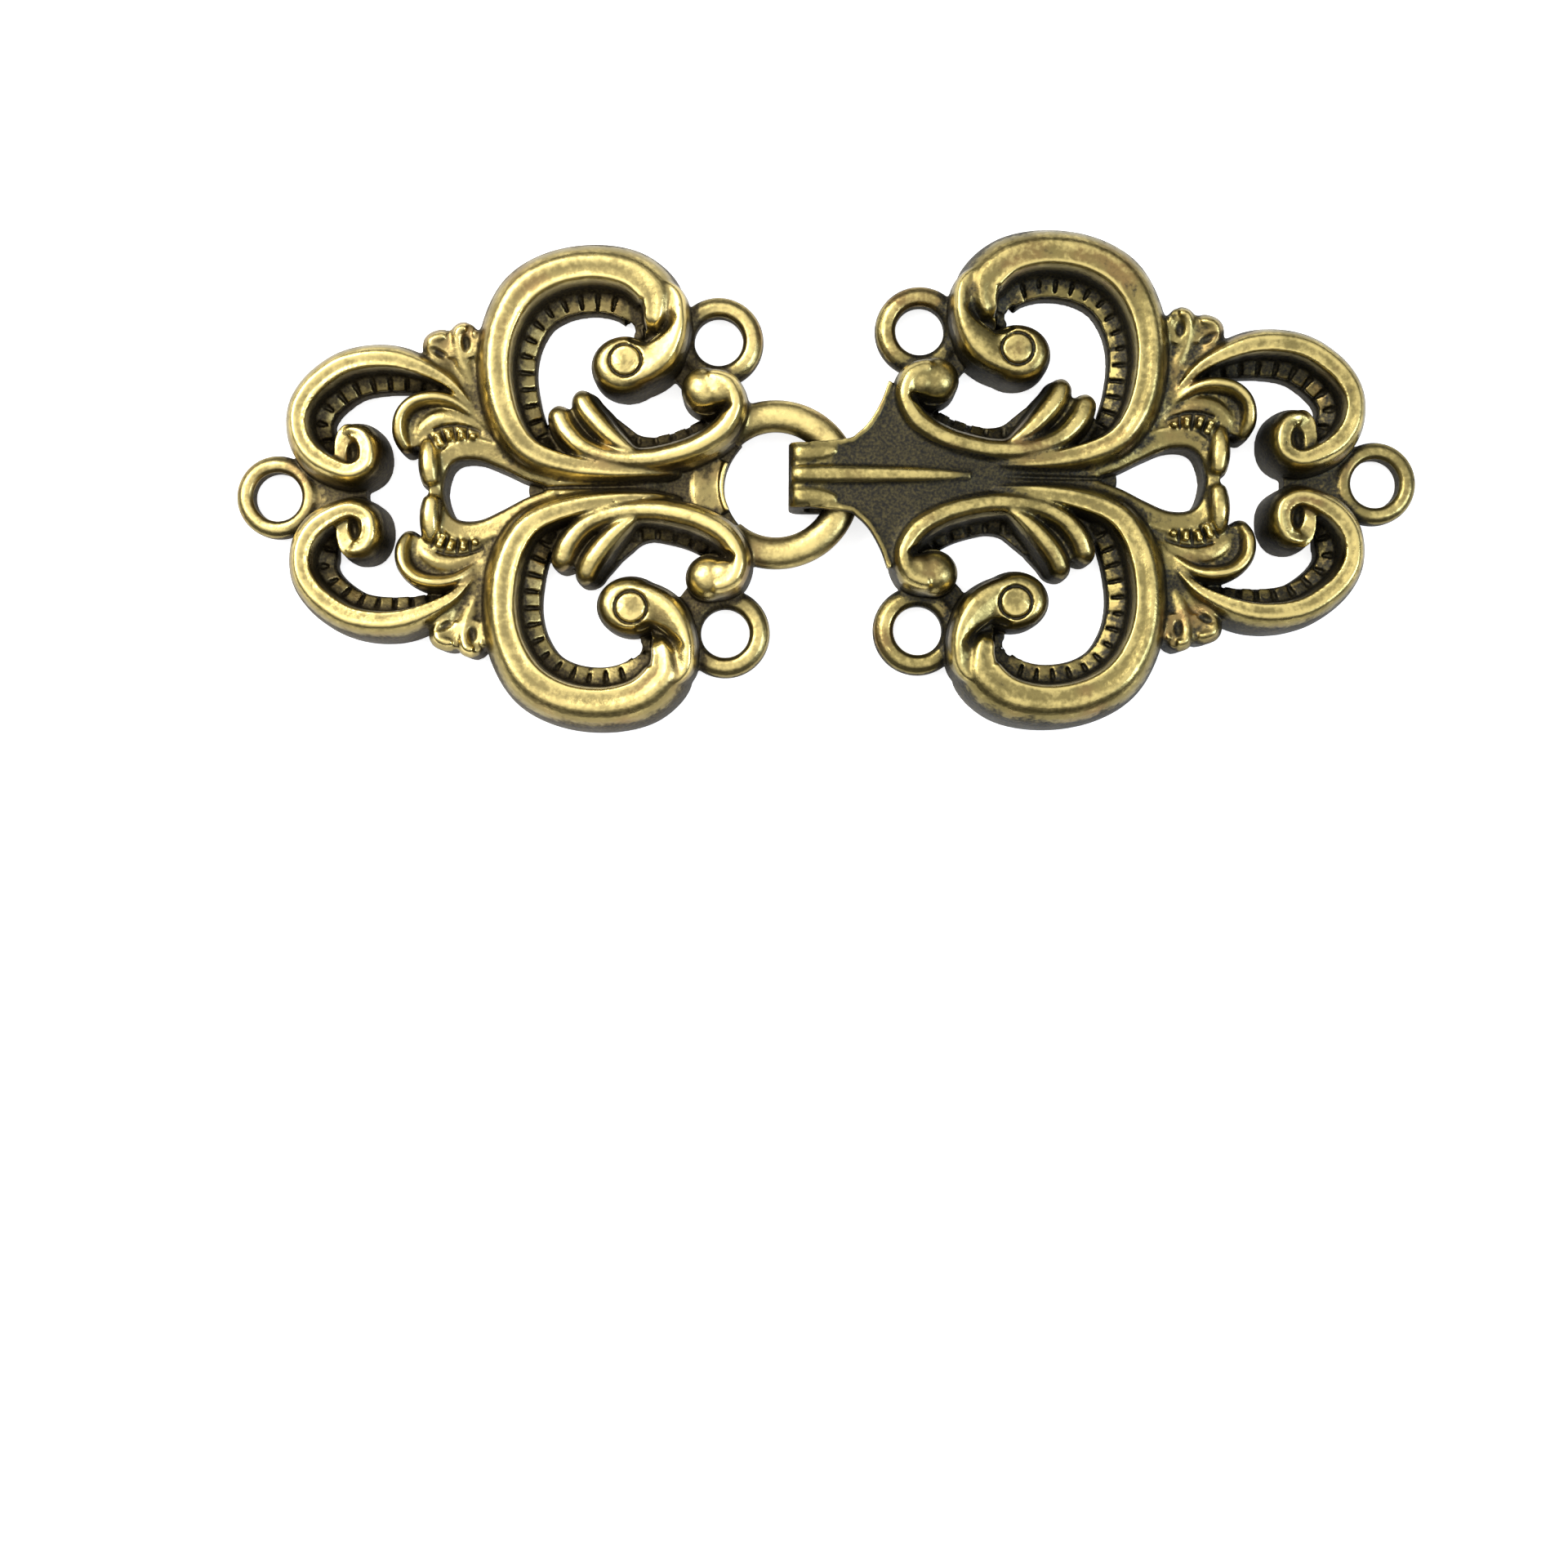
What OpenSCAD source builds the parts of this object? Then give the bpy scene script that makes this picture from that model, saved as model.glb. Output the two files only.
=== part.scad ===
// A hook and eye clasp of pierced scrollwork, fastened.
// Two flat-backed castings lie on z = 0 with their relief up: the eye half on the
// left (-X) and the hook half on the right (+X). The hook's tongue passes over the
// eye's ring and folds back under it.

/* [Eye half] */
// From the line of the side sewing holes out to the end sewing hole
eye_reach = 33.7; // [31:0.1:38]
// Half the height of the scrollwork, from its middle line up
eye_rise = 18.4; // [17:0.1:20]
// How far the eye half turns on its ring from a straight line, in degrees
eye_lean = 1.25; // [0:0.05:2]

/* [Hook half] */
// From the line of the side sewing holes out to the end sewing hole
hook_reach = 34.6; // [32:0.1:39]
// Half the height of the scrollwork, from its middle line up
hook_rise = 18.9; // [17.5:0.1:20.5]
// How far the hook half turns on the ring from a straight line, in degrees
hook_lean = 0.4; // [0:0.05:1]
// How far the hook half has slid up on the ring from its middle
hook_slide = 0.5; // [0:0.05:0.6]

/* [Relief] */
// Height of the tallest scrolls above the back
relief_h = 5.4; // [5.2:0.1:6.5]
// Width of the widest scroll band
band_w = 3.6; // [3.2:0.05:4]
// Width of the low ledge inside each scroll
ledge_w = 1.4; // [1:0.05:1.7]
// Height of the ledge above the back
ledge_h = 1.7; // [1.2:0.05:2.2]
// Diameter of the round button in each big volute
button_d = 2.5; // [2:0.05:2.9]
// Height of the plain webs between the scrolls
web_h = 1.8; // [1.4:0.05:2.2]

/* [Sewing loops] */
// Diameter of the sewing holes
hole_d = 3.7; // [3.2:0.05:4]
// Width of metal round a side hole
side_rim = 1.55; // [1.3:0.05:1.9]
// Width of metal round an end hole
end_rim = 1.3; // [1.1:0.05:1.7]
// Thickness of the loops from back to front
loop_h = 1.9; // [1.6:0.05:2.2]
// Height of the loops' underside above the back
loop_lift = 0.2; // [0.1:0.05:0.4]
// Height of a side hole above the middle line, as a share of the rise
side_hole_rise = 0.602; // [0.6:0.002:0.61]

/* [Ring] */
// Radius of the ring to the middle of its wire
ring_r = 5.18; // [5:0.02:5.4]
// Width of the ring's wire, seen from the front
ring_w = 2.46; // [2.2:0.02:2.6]
// Thickness of the ring's wire from back to front
ring_h = 2; // [1.8:0.05:2.2]
// From the line of the eye half's side holes to the ring's centre
ring_ahead = 4.1; // [3.9:0.05:4.4]

/* [Hook] */
// Width of the tongue that passes over the ring
tongue_w = 4.85; // [4.4:0.05:5.2]
// Thickness of the tongue over the ring
tongue_t = 1; // [0.9:0.05:1.3]
// Thickness of the lip under the ring
lip_t = 1.1; // [0.9:0.05:1.3]
// Thickness of the fold between tongue and lip
fold_t = 1.2; // [1:0.05:1.4]
// From the line of the hook half's side holes to the fold's outer face
tongue_reach = 9.87; // [9.6:0.05:10.4]
// Length of the lip, from the fold's outer face
lip_len = 4.3; // [4:0.05:4.5]
// Air between the ring's wire and the hook, above and below
ring_clear = 0.25; // [0.2:0.01:0.35]
// Free travel left between the ring's wire and the fold
ring_slack = 1.8; // [1.2:0.05:2]
// Height of the rib on the middle of the tongue above its plate
rib_h = 0.4; // [0.2:0.05:0.6]
// Width of that rib at the fold
rib_w = 1.5; // [1.2:0.05:1.7]
// Width of the thin raised rim along the plate's edges
rim_w = 0.35; // [0.3:0.05:0.5]

/* [Hidden] */
brass = "#a5853c";
half_band = band_w / 2;
end_r = hole_d / 2 + end_rim;
// Heights of the fastening, from the back up
ring_z = lip_t + ring_clear + ring_h / 2;
plate_z = lip_t + 2 * ring_clear + ring_h;
plate_top = plate_z + tongue_t;
ring_in = ring_r - ring_w / 2;
// The halves stand either side of the ring's centre; the whole is centred on X and Y
hook_x = ring_in - ring_slack - fold_t + tongue_reach;
far_left = ring_ahead + eye_reach + end_r;
far_right = hook_x + hook_reach + end_r;
ring_x = (far_left - far_right) / 2;
scroll_mid = 0.3;
drop_left = (ring_ahead + scroll_mid * eye_reach) * sin(eye_lean);
drop_right = (hook_x + scroll_mid * hook_reach) * sin(hook_lean) - hook_slide;
above_ring = max(eye_rise - drop_left, hook_rise - drop_right);
below_ring = max(eye_rise + drop_left, hook_rise + drop_right);
ring_y = (below_ring - above_ring) / 2;
// Low plates and ledges as shares of the relief
web_top = web_h / relief_h;
ledge_top = ledge_h / relief_h;
fan_top = 0.46;
crease_top = 0.62;
middle_top = 0.36;
// How far the plates reach below the back before it is cut, and the rounds' sampling
below = 0.1;
ring_fn = 48;

// Tables of the scrolls of one quarter, from the side holes (along 0) out to the end
// hole (along 1) and from the middle line (across 0) up to the top (across 1).
// Columns: along the reach, across the rise, half width as a share of half the band,
// height as a share of the relief, ledge as a share of the ledge's width.
big_scroll = [
    [0.078, 0.027, 0.10, 0.42, 0.10],
    [0.158, 0.033, 0.19, 0.52, 0.10],
    [0.243, 0.041, 0.30, 0.62, 0.10],
    [0.334, 0.071, 0.42, 0.70, 0.15],
    [0.412, 0.119, 0.60, 0.80, 0.50],
    [0.458, 0.194, 0.73, 0.88, 0.90],
    [0.490, 0.327, 0.83, 0.93, 1.00],
    [0.500, 0.500, 0.84, 0.96, 1.00],
    [0.484, 0.663, 0.90, 0.98, 1.00],
    [0.438, 0.803, 0.97, 1.00, 1.00],
    [0.362, 0.884, 0.96, 1.00, 1.05],
    [0.269, 0.908, 0.95, 1.00, 1.10],
    [0.184, 0.874, 1.00, 1.00, 1.10],
    [0.128, 0.786, 1.00, 1.00, 1.00],
    [0.124, 0.714, 0.70, 0.97, 0.70],
    [0.135, 0.668, 0.50, 0.90, 0.40],
    [0.143, 0.633, 0.24, 0.70, 0.20],
];
big_volute = [
    [0.148, 0.830, 0.41, 0.90],
    [0.098, 0.769, 0.48, 0.98],
    [0.085, 0.680, 0.48, 1.00],
    [0.093, 0.599, 0.52, 1.00],
    [0.117, 0.520, 0.60, 1.00],
    [0.160, 0.452, 0.57, 0.98],
    [0.213, 0.408, 0.48, 0.95],
    [0.260, 0.446, 0.48, 0.94],
    [0.271, 0.517, 0.48, 0.93],
    [0.245, 0.582, 0.45, 0.90],
    [0.200, 0.595, 0.38, 0.86],
    [0.171, 0.578, 0.24, 0.72],
];
s_scroll = [
    [0.061, 0.337, 0.41, 0.78, 0.10],
    [0.046, 0.381, 0.57, 0.93, 0.10],
    [0.009, 0.415, 0.57, 0.97, 0.10],
    [-0.026, 0.384, 0.55, 0.98, 0.10],
    [-0.037, 0.306, 0.53, 0.98, 0.20],
    [-0.011, 0.207, 0.52, 0.97, 0.90],
    [0.046, 0.136, 0.48, 0.95, 1.00],
    [0.115, 0.100, 0.43, 0.93, 1.00],
    [0.171, 0.092, 0.38, 0.90, 0.90],
    [0.260, 0.109, 0.36, 0.85, 0.30],
    [0.319, 0.160, 0.40, 0.83, 0.10],
    [0.354, 0.224, 0.40, 0.80, 0.10],
    [0.367, 0.286, 0.33, 0.72, 0.10],
    [0.371, 0.316, 0.17, 0.50, 0.10],
];
leaf_finger = [
    [0.191, 0.129, 0.17, 0.78, 0.30],
    [0.232, 0.180, 0.34, 0.85, 0.60],
    [0.278, 0.255, 0.43, 0.83, 0.60],
    [0.309, 0.335, 0.42, 0.76, 0.30],
    [0.316, 0.385, 0.20, 0.50, 0.10],
];
outer_scroll = [
    [0.848, 0.170, 0.17, 0.62, 0.10],
    [0.844, 0.218, 0.24, 0.72, 0.10],
    [0.824, 0.262, 0.34, 0.80, 0.10],
    [0.792, 0.238, 0.46, 0.88, 0.10],
    [0.774, 0.170, 0.50, 0.90, 0.10],
    [0.781, 0.092, 0.50, 0.90, 0.10],
    [0.827, 0.061, 0.50, 0.90, 0.10],
    [0.894, 0.116, 0.63, 0.90, 0.40],
    [0.931, 0.197, 0.62, 0.90, 0.80],
    [0.941, 0.293, 0.59, 0.90, 0.80],
    [0.928, 0.378, 0.62, 0.90, 0.80],
    [0.891, 0.459, 0.65, 0.90, 0.80],
    [0.831, 0.527, 0.65, 0.90, 0.80],
    [0.757, 0.550, 0.63, 0.90, 0.80],
    [0.688, 0.531, 0.58, 0.87, 0.75],
    [0.612, 0.463, 0.38, 0.78, 0.40],
    [0.570, 0.388, 0.24, 0.68, 0.10],
    [0.529, 0.286, 0.10, 0.55, 0.10],
];
crescent_rim = [
    [0.701, 0.156, 0.21, 0.55, 0.30],
    [0.722, 0.231, 0.31, 0.72, 0.60],
    [0.720, 0.313, 0.31, 0.76, 0.60],
    [0.686, 0.371, 0.31, 0.78, 0.60],
    [0.640, 0.384, 0.31, 0.78, 0.60],
    [0.597, 0.367, 0.28, 0.74, 0.50],
    [0.560, 0.320, 0.17, 0.62, 0.30],
];
crescent_blade = [
    [0.686, 0.204, 0.21, 0.42],
    [0.657, 0.289, 0.41, 0.52],
    [0.610, 0.323, 0.41, 0.52],
    [0.566, 0.296, 0.34, 0.50],
    [0.530, 0.252, 0.17, 0.40],
];
wing = [
    [0.371, 0.024, 0.21, 0.55],
    [0.427, 0.061, 0.34, 0.58],
    [0.481, 0.122, 0.48, 0.60],
    [0.534, 0.163, 0.52, 0.60],
    [0.584, 0.163, 0.45, 0.62],
    [0.620, 0.126, 0.31, 0.66],
    [0.640, 0.058, 0.28, 0.70],
    [0.642, -0.014, 0.24, 0.66],
];
heart_lobe = [
    [0.650, 0.215, 0.19, 0.58],
    [0.657, 0.145, 0.42, 0.76],
    [0.653, 0.068, 0.38, 0.74],
    [0.643, 0.010, 0.16, 0.60],
];
fan_ridges = [
    [[0.526, 0.272, 0.08, 0.50], [0.579, 0.408, 0.14, 0.60], [0.632, 0.533, 0.18, 0.70],
     [0.647, 0.592, 0.18, 0.76], [0.634, 0.622, 0.22, 0.78], [0.598, 0.619, 0.16, 0.70]],
    [[0.526, 0.296, 0.08, 0.50], [0.551, 0.456, 0.14, 0.60], [0.583, 0.564, 0.18, 0.72],
     [0.588, 0.617, 0.18, 0.76], [0.572, 0.655, 0.24, 0.80], [0.545, 0.650, 0.20, 0.76]],
    [[0.521, 0.289, 0.08, 0.50], [0.531, 0.455, 0.12, 0.60], [0.539, 0.571, 0.14, 0.68],
     [0.545, 0.650, 0.18, 0.74]],
];
// Short ribs between crescent and wing: along and across at the foot and at the head
ribs = [
    [0.619, 0.181, 0.633, 0.231],
    [0.599, 0.187, 0.607, 0.254],
    [0.577, 0.180, 0.580, 0.248],
    [0.553, 0.197, 0.549, 0.214],
];
rib_width = 0.19;
rib_height = 0.62;
// Plain ground plates, as outlines of along and across
fan_ground = [
    [0.515, 0.240], [0.581, 0.401], [0.634, 0.527], [0.654, 0.600], [0.645, 0.645],
    [0.620, 0.655], [0.590, 0.655], [0.570, 0.685], [0.545, 0.672], [0.525, 0.600], [0.500, 0.420],
];
rib_ground = [
    [0.660, 0.170], [0.640, 0.270], [0.590, 0.290], [0.508, 0.262], [0.500, 0.190],
    [0.560, 0.160], [0.620, 0.150],
];
side_ground = [
    [0.100, 0.560], [0.060, 0.590], [0.040, 0.480], [0.010, 0.420], [0.060, 0.380], [0.110, 0.480],
];
leaf_ground = [
    [0.240, 0.040], [0.220, 0.140], [0.290, 0.250], [0.350, 0.280], [0.420, 0.200], [0.420, 0.080],
];
crease_ground = [
    [0.100, 0.600], [0.100, 0.780], [0.150, 0.800], [0.175, 0.700], [0.185, 0.630],
    [0.170, 0.560], [0.120, 0.540],
];
middle_ground = [
    [0.057, 0.006], [0.100, 0.050], [0.250, 0.060], [0.400, 0.090], [0.428, 0.060], [0.434, 0.008],
];
// Ring plate: half its arc in degrees, and its corners inside the S-scrolls
plate_arc = 48;
plate_corners = [[0.010, 0.200], [0.060, 0.100], [0.100, 0.030], [0.100, -0.030], [0.060, -0.100], [0.010, -0.200]];
// Upper edge of the tongue's plate where it flares, as shares of its reach and of the rise
plate_flare = [[-0.560, 0.142], [-0.480, 0.164], [-0.385, 0.215], [-0.300, 0.295], [-0.250, 0.370]];
// The plate's edge inside the scrolls and the edge of the block under it
plate_inner = [[-0.010, 0.300], [0.060, 0.150], [0.150, 0.050]];
root_edge = [[-0.028, 0.170], [0.046, 0.130], [0.115, 0.090], [0.160, 0.020]];
// Rounding of the fold outside and inside
fold_round = 0.9;
slot_round = 0.6;
button_at = [0.213, 0.500];
button_top = 0.90;
button_seat = 0.74;
button_moat = 1.6;
dimple_at = [0.816, 0.150];
dimple_r = 0.55;
dimple_floor = 0.55;

// Outline of a scroll band across its width. Columns: share of the half width (the
// outside negative), share of the ledge, share of the band's height, share of the
// ledge's height.
ledge_section = [
    [-1, 0, -0.1, 0], [-0.98, 0, 0.42, 0], [-0.62, 0, 0.88, 0], [0.1, 0, 1, 0],
    [0.76, 0, 0.84, 0], [1, 0.05, 0, 1], [1, 1, 0, 0.75], [1, 1, -0.1, 0],
];
plain_section = [
    [-1, 0, -0.1, 0], [-0.94, 0, 0.5, 0], [-0.4, 0, 0.97, 0],
    [0.4, 0, 0.97, 0], [0.94, 0, 0.5, 0], [1, 0, -0.1, 0],
];

function spline(a, b, c, d, t) =
    0.5 * (2 * b + (c - a) * t + (2 * a - 5 * b + 4 * c - d) * t * t + (3 * b - a - 3 * c + d) * t * t * t);
function smooth_rows(rows, n) = concat(
    [for (i = [0 : len(rows) - 2], j = [0 : n - 1])
        spline(rows[max(i - 1, 0)], rows[i], rows[i + 1], rows[min(i + 2, len(rows) - 1)], j / n)],
    [rows[len(rows) - 1]]
);
function unit(v) = v / norm(v);
// A table's rows in millimetres, apart from the height, which stays a share of the relief
function sized(rows, reach, rise) = [
    for (r = rows) [r[0] * reach, r[1] * rise, r[2] * half_band, r[3], (len(r) > 4 ? r[4] : 0) * ledge_w]
];

// A band swept along rows of [x, y, half width, height share, ledge]
module band(rows, section) {
    n = len(rows);
    m = len(section);
    points = [
        for (i = [0 : n - 1])
        let (
            here = rows[i],
            ahead = rows[min(i + 1, n - 1)],
            behind = rows[max(i - 1, 0)],
            dir = unit([ahead[0] - behind[0], ahead[1] - behind[1]]),
            left = [-dir[1], dir[0]]
        )
        for (s = section)
        let (side = s[0] * here[2] + s[1] * here[4])
        [here[0] + left[0] * side, here[1] + left[1] * side, s[2] * here[3] + s[3] * ledge_top]
    ];
    faces = concat(
        [for (i = [0 : n - 2], k = [0 : m - 1]) [i * m + k, (i + 1) * m + (k + 1) % m, (i + 1) * m + k]],
        [for (i = [0 : n - 2], k = [0 : m - 1]) [i * m + k, i * m + (k + 1) % m, (i + 1) * m + (k + 1) % m]],
        [[for (k = [m - 1 : -1 : 0]) k]],
        [[for (k = [0 : m - 1]) (n - 1) * m + k]]
    );
    polyhedron(points, faces);
}

module scroll(rows, reach, rise, section = plain_section, n = 1) {
    band(smooth_rows(sized(rows, reach, rise), n), section);
}

// Drawn from below the back, which is then cut flat
module from_below(top) {
    translate([0, 0, -below]) linear_extrude(top + below) children();
}

// A plain plate between the scrolls, its height a share of the relief
module ground(outline, reach, rise, top) {
    from_below(top) polygon([for (p = outline) [p[0] * reach, p[1] * rise]]);
}

// One quarter of the scrollwork, drawn with heights as shares of the relief
module quarter(reach, rise) {
    scroll(big_scroll, reach, rise, ledge_section, n = 2);
    scroll(big_volute, reach, rise);
    scroll(s_scroll, reach, rise, ledge_section);
    scroll(leaf_finger, reach, rise, ledge_section);
    scroll(outer_scroll, reach, rise, ledge_section);
    scroll(crescent_rim, reach, rise, ledge_section);
    scroll(crescent_blade, reach, rise);
    scroll(wing, reach, rise);
    scroll(heart_lobe, reach, rise);
    for (ridge = fan_ridges) scroll(ridge, reach, rise);
    for (r = ribs) short_rib(r, reach, rise);
    translate([button_at[0] * reach, button_at[1] * rise]) {
        from_below(button_seat) circle(d = button_d + button_moat, $fn = 20);
        from_below(button_top) circle(d = button_d, $fn = 20);
    }
    translate([dimple_at[0] * reach, dimple_at[1] * rise])
        from_below(dimple_floor) circle(r = dimple_r * half_band, $fn = 12);
    ground(fan_ground, reach, rise, fan_top);
    ground(crease_ground, reach, rise, crease_top);
    for (outline = [rib_ground, side_ground, leaf_ground]) ground(outline, reach, rise, web_top);
}

module short_rib(r, reach, rise) {
    foot = [r[0] * reach, r[1] * rise];
    head = [r[2] * reach, r[3] * rise];
    w = rib_width * half_band;
    band([
        [foot[0], foot[1], w * 0.6, rib_height * 0.8, 0],
        [(foot[0] * 2 + head[0]) / 3, (foot[1] * 2 + head[1]) / 3, w, rib_height, 0],
        [(foot[0] + head[0] * 2) / 3, (foot[1] + head[1] * 2) / 3, w, rib_height, 0],
        [head[0], head[1], w * 0.6, rib_height * 0.8, 0]
    ], plain_section);
}

// The relief of one half, cut flat at the back and brought to its full height
module relief(reach, rise) {
    resize([0, 0, relief_h]) difference() {
        union() {
            for (side = [0, 1]) mirror([0, side, 0]) quarter(reach, rise);
            middle_grounds(reach, rise);
            children();
        }
        translate([-reach, -2 * rise, -1]) cube([3 * reach, 4 * rise, 1]);
    }
}

// The plain webs on the middle line: under the tails of the scrolls, and between the
// two hooked volutes behind the end loop
module middle_grounds(reach, rise) {
    from_below(middle_top) both_sides([for (p = middle_ground) [p[0] * reach, p[1] * rise]]);
    far = reach - hole_d / 2 - end_rim / 2;
    from_below(web_top) both_sides([[0.80 * reach, 0.05 * rise], [far, 0.12 * rise]]);
}

// A shape mirrored about the middle line from the points of its upper edge
module both_sides(upper) {
    polygon(concat(upper, [for (i = [len(upper) - 1 : -1 : 0]) [upper[i][0], -upper[i][1]]]));
}

// A sewing loop: a rounded ring of metal round a straight-walled hole
module sewing_loop(rim) {
    r = hole_d / 2;
    edge = min(rim, loop_h) * 0.24;
    translate([0, 0, loop_lift]) rotate_extrude($fn = ring_fn)
        polygon([
            [r, edge], [r + edge, 0], [r + rim - 1.4 * edge, 0], [r + rim - 0.3 * edge, 0.6 * edge],
            [r + rim, 1.8 * edge], [r + rim, loop_h - 2 * edge], [r + rim - 0.4 * edge, loop_h - 0.9 * edge],
            [r + rim - 1.5 * edge, loop_h - 0.1 * edge], [r + rim / 2, loop_h],
            [r + 0.9 * edge, loop_h - 0.1 * edge], [r, loop_h - edge]
        ]);
}

module sewing_loops(reach, rise) {
    for (side = [-1, 1]) translate([0, side * side_hole_rise * rise]) sewing_loop(side_rim);
    translate([reach, 0]) sewing_loop(end_rim);
}

// The eye's ring, an oval wire whose ends run into the two S-scrolls
module ring() {
    half_open = 52;
    translate([-ring_ahead, 0, ring_z]) rotate(half_open) rotate_extrude(angle = 360 - 2 * half_open, $fn = ring_fn)
        translate([ring_r, 0]) polygon([for (a = [0 : 18 : 342]) [cos(a) * ring_w / 2, sin(a) * ring_h / 2]]);
}

// The small plate that closes the ring behind, between the two S-scrolls
module ring_plate() {
    arc = [for (a = [-plate_arc : plate_arc / 3 : plate_arc]) [cos(a), sin(a)]];
    edge = [for (p = arc) [ring_in * p[0] - ring_ahead, ring_in * p[1]]];
    lip = [
        for (i = [len(arc) - 1 : -1 : 0])
        [(ring_in + rim_w) * arc[i][0] - ring_ahead, (ring_in + rim_w) * arc[i][1]]
    ];
    inner = [for (p = plate_corners) [p[0] * eye_reach, p[1] * eye_rise]];
    from_below(web_top) polygon(concat(edge, inner));
    from_below(web_top * 1.15) polygon(concat(edge, lip));
}

module plate_outline() {
    both_sides(concat(
        [[-tongue_reach - 1, tongue_w / 2]],
        [for (p = plate_flare) [p[0] * tongue_reach, p[1] * hook_rise]],
        [for (p = plate_inner) [p[0] * hook_reach, p[1] * hook_rise]]
    ));
}

// Side view of the tongue's top, its rounded tip set back and its height grown
module tongue_side(back, grow) {
    translate([back - tongue_reach, 0]) offset(r = fold_round, $fn = 24) offset(delta = -fold_round)
        square([2 * tongue_reach, plate_top + grow]);
}

// What stands on the tongue: an outline kept to the tongue's side view, with some height
module raised(back, grow) {
    intersection() {
        translate([0, 0, plate_z + tongue_t / 2]) linear_extrude(tongue_t) children();
        rotate([90, 0, 0]) linear_extrude(4 * tongue_w, center = true) tongue_side(back, grow);
    }
}

// The tongue's plate over the ring, folded at its tip into the lip that runs back under
// the ring; the plate carries a thin rim and three ribs
module tongue() {
    pad_in = rib_w / 2 + 0.2;
    pad_out = tongue_w / 2 - 0.06;
    tip = -tongue_reach - 1;
    intersection() {
        linear_extrude(plate_top + 1) plate_outline();
        rotate([90, 0, 0]) linear_extrude(4 * tongue_w, center = true) difference() {
            tongue_side(0, 0);
            translate([fold_t - tongue_reach, lip_t]) offset(r = slot_round, $fn = 16) offset(delta = -slot_round)
                square([3 * tongue_reach, plate_z - lip_t]);
            translate([lip_len - tongue_reach, -1]) square([3 * tongue_reach, plate_z]);
        }
    }
    raised(0.12, 0.12) difference() {
        plate_outline();
        offset(delta = -rim_w) plate_outline();
    }
    for (step = [0, 1]) raised(0.05 + 0.05 * step, rib_h * (1 + step) / 2) both_sides([
        [tip, (rib_w - rim_w * step) / 2], [-0.3 * tongue_reach, (rib_w - rim_w * step) / 2.2],
        [(0.14 - 0.05 * step) * hook_reach, rib_w / 9]
    ]);
    for (side = [-1, 1]) raised(0.08, rib_h * 0.7) polygon([
        [tip, side * pad_in], [-0.78 * tongue_reach, side * pad_in],
        [-0.72 * tongue_reach, side * (pad_out - rim_w)], [-0.76 * tongue_reach, side * pad_out], [tip, side * pad_out]
    ]);
}

// The block that carries the plate between the two S-scrolls
module hook_root() {
    linear_extrude(plate_z + tongue_t / 2) both_sides([for (p = root_edge) [p[0] * hook_reach, p[1] * hook_rise]]);
}

module eye_half() {
    color(brass) translate([ring_x, ring_y]) rotate(eye_lean) mirror([1, 0, 0]) translate([ring_ahead, 0]) {
        relief(eye_reach, eye_rise) ring_plate();
        sewing_loops(eye_reach, eye_rise);
        ring();
    }
}

module hook_half() {
    color(brass) translate([ring_x, ring_y]) rotate(-hook_lean) translate([hook_x, hook_slide]) {
        relief(hook_reach, hook_rise);
        sewing_loops(hook_reach, hook_rise);
        tongue();
        hook_root();
    }
}

eye_half();
hook_half();
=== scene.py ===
# A hook and eye clasp of pierced scrollwork, fastened: two antique brass castings.
import math
import bpy
import numpy as np
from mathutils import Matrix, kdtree


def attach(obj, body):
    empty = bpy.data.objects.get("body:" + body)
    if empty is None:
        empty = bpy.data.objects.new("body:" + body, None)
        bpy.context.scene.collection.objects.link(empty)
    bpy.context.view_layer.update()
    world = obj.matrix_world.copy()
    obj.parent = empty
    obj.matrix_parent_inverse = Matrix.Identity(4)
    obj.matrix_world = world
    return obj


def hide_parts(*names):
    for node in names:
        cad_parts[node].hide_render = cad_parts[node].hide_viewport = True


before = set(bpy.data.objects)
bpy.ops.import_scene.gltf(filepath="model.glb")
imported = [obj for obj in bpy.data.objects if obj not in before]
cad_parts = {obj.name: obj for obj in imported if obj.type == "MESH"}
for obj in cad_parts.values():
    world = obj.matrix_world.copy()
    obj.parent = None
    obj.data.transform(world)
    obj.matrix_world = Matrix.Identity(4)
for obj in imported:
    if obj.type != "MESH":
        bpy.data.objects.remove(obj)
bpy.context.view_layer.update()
print("frame loaded")

# Sizes are in millimetres here and become metres when a finished casting is stored.
# Each half: reach from its side holes to its end hole, rise from the middle line to
# the top, lean in degrees, how far ahead of the ring's centre its side holes lie, how
# far it is slid up, and the rows of the ridge along its middle line.
ringAt = (-3.81, -0.271)
halves = {
    "eye": {
        "reach": 33.7, "rise": 18.4, "lean": 1.25, "ahead": 4.1, "slide": 0.0, "side": -1,
        "keel": [
            [0.110, 0, 0.16, 0.30], [0.160, 0, 0.20, 0.52], [0.220, 0, 0.24, 0.58],
            [0.300, 0, 0.26, 0.62], [0.365, 0, 0.28, 0.64], [0.398, 0, 0.26, 0.62],
        ],
    },
    "hook": {
        "reach": 34.6, "rise": 18.9, "lean": -0.4, "ahead": 10.82, "slide": 0.5, "side": 1,
        "keel": [
            [-0.060, 0, 1.90, 0.852], [0.000, 0, 1.45, 0.852], [0.060, 0, 1.02, 0.84],
            [0.120, 0, 0.66, 0.80], [0.180, 0, 0.48, 0.75], [0.250, 0, 0.32, 0.70],
            [0.320, 0, 0.28, 0.66], [0.398, 0, 0.26, 0.62],
        ],
    },
}
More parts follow.
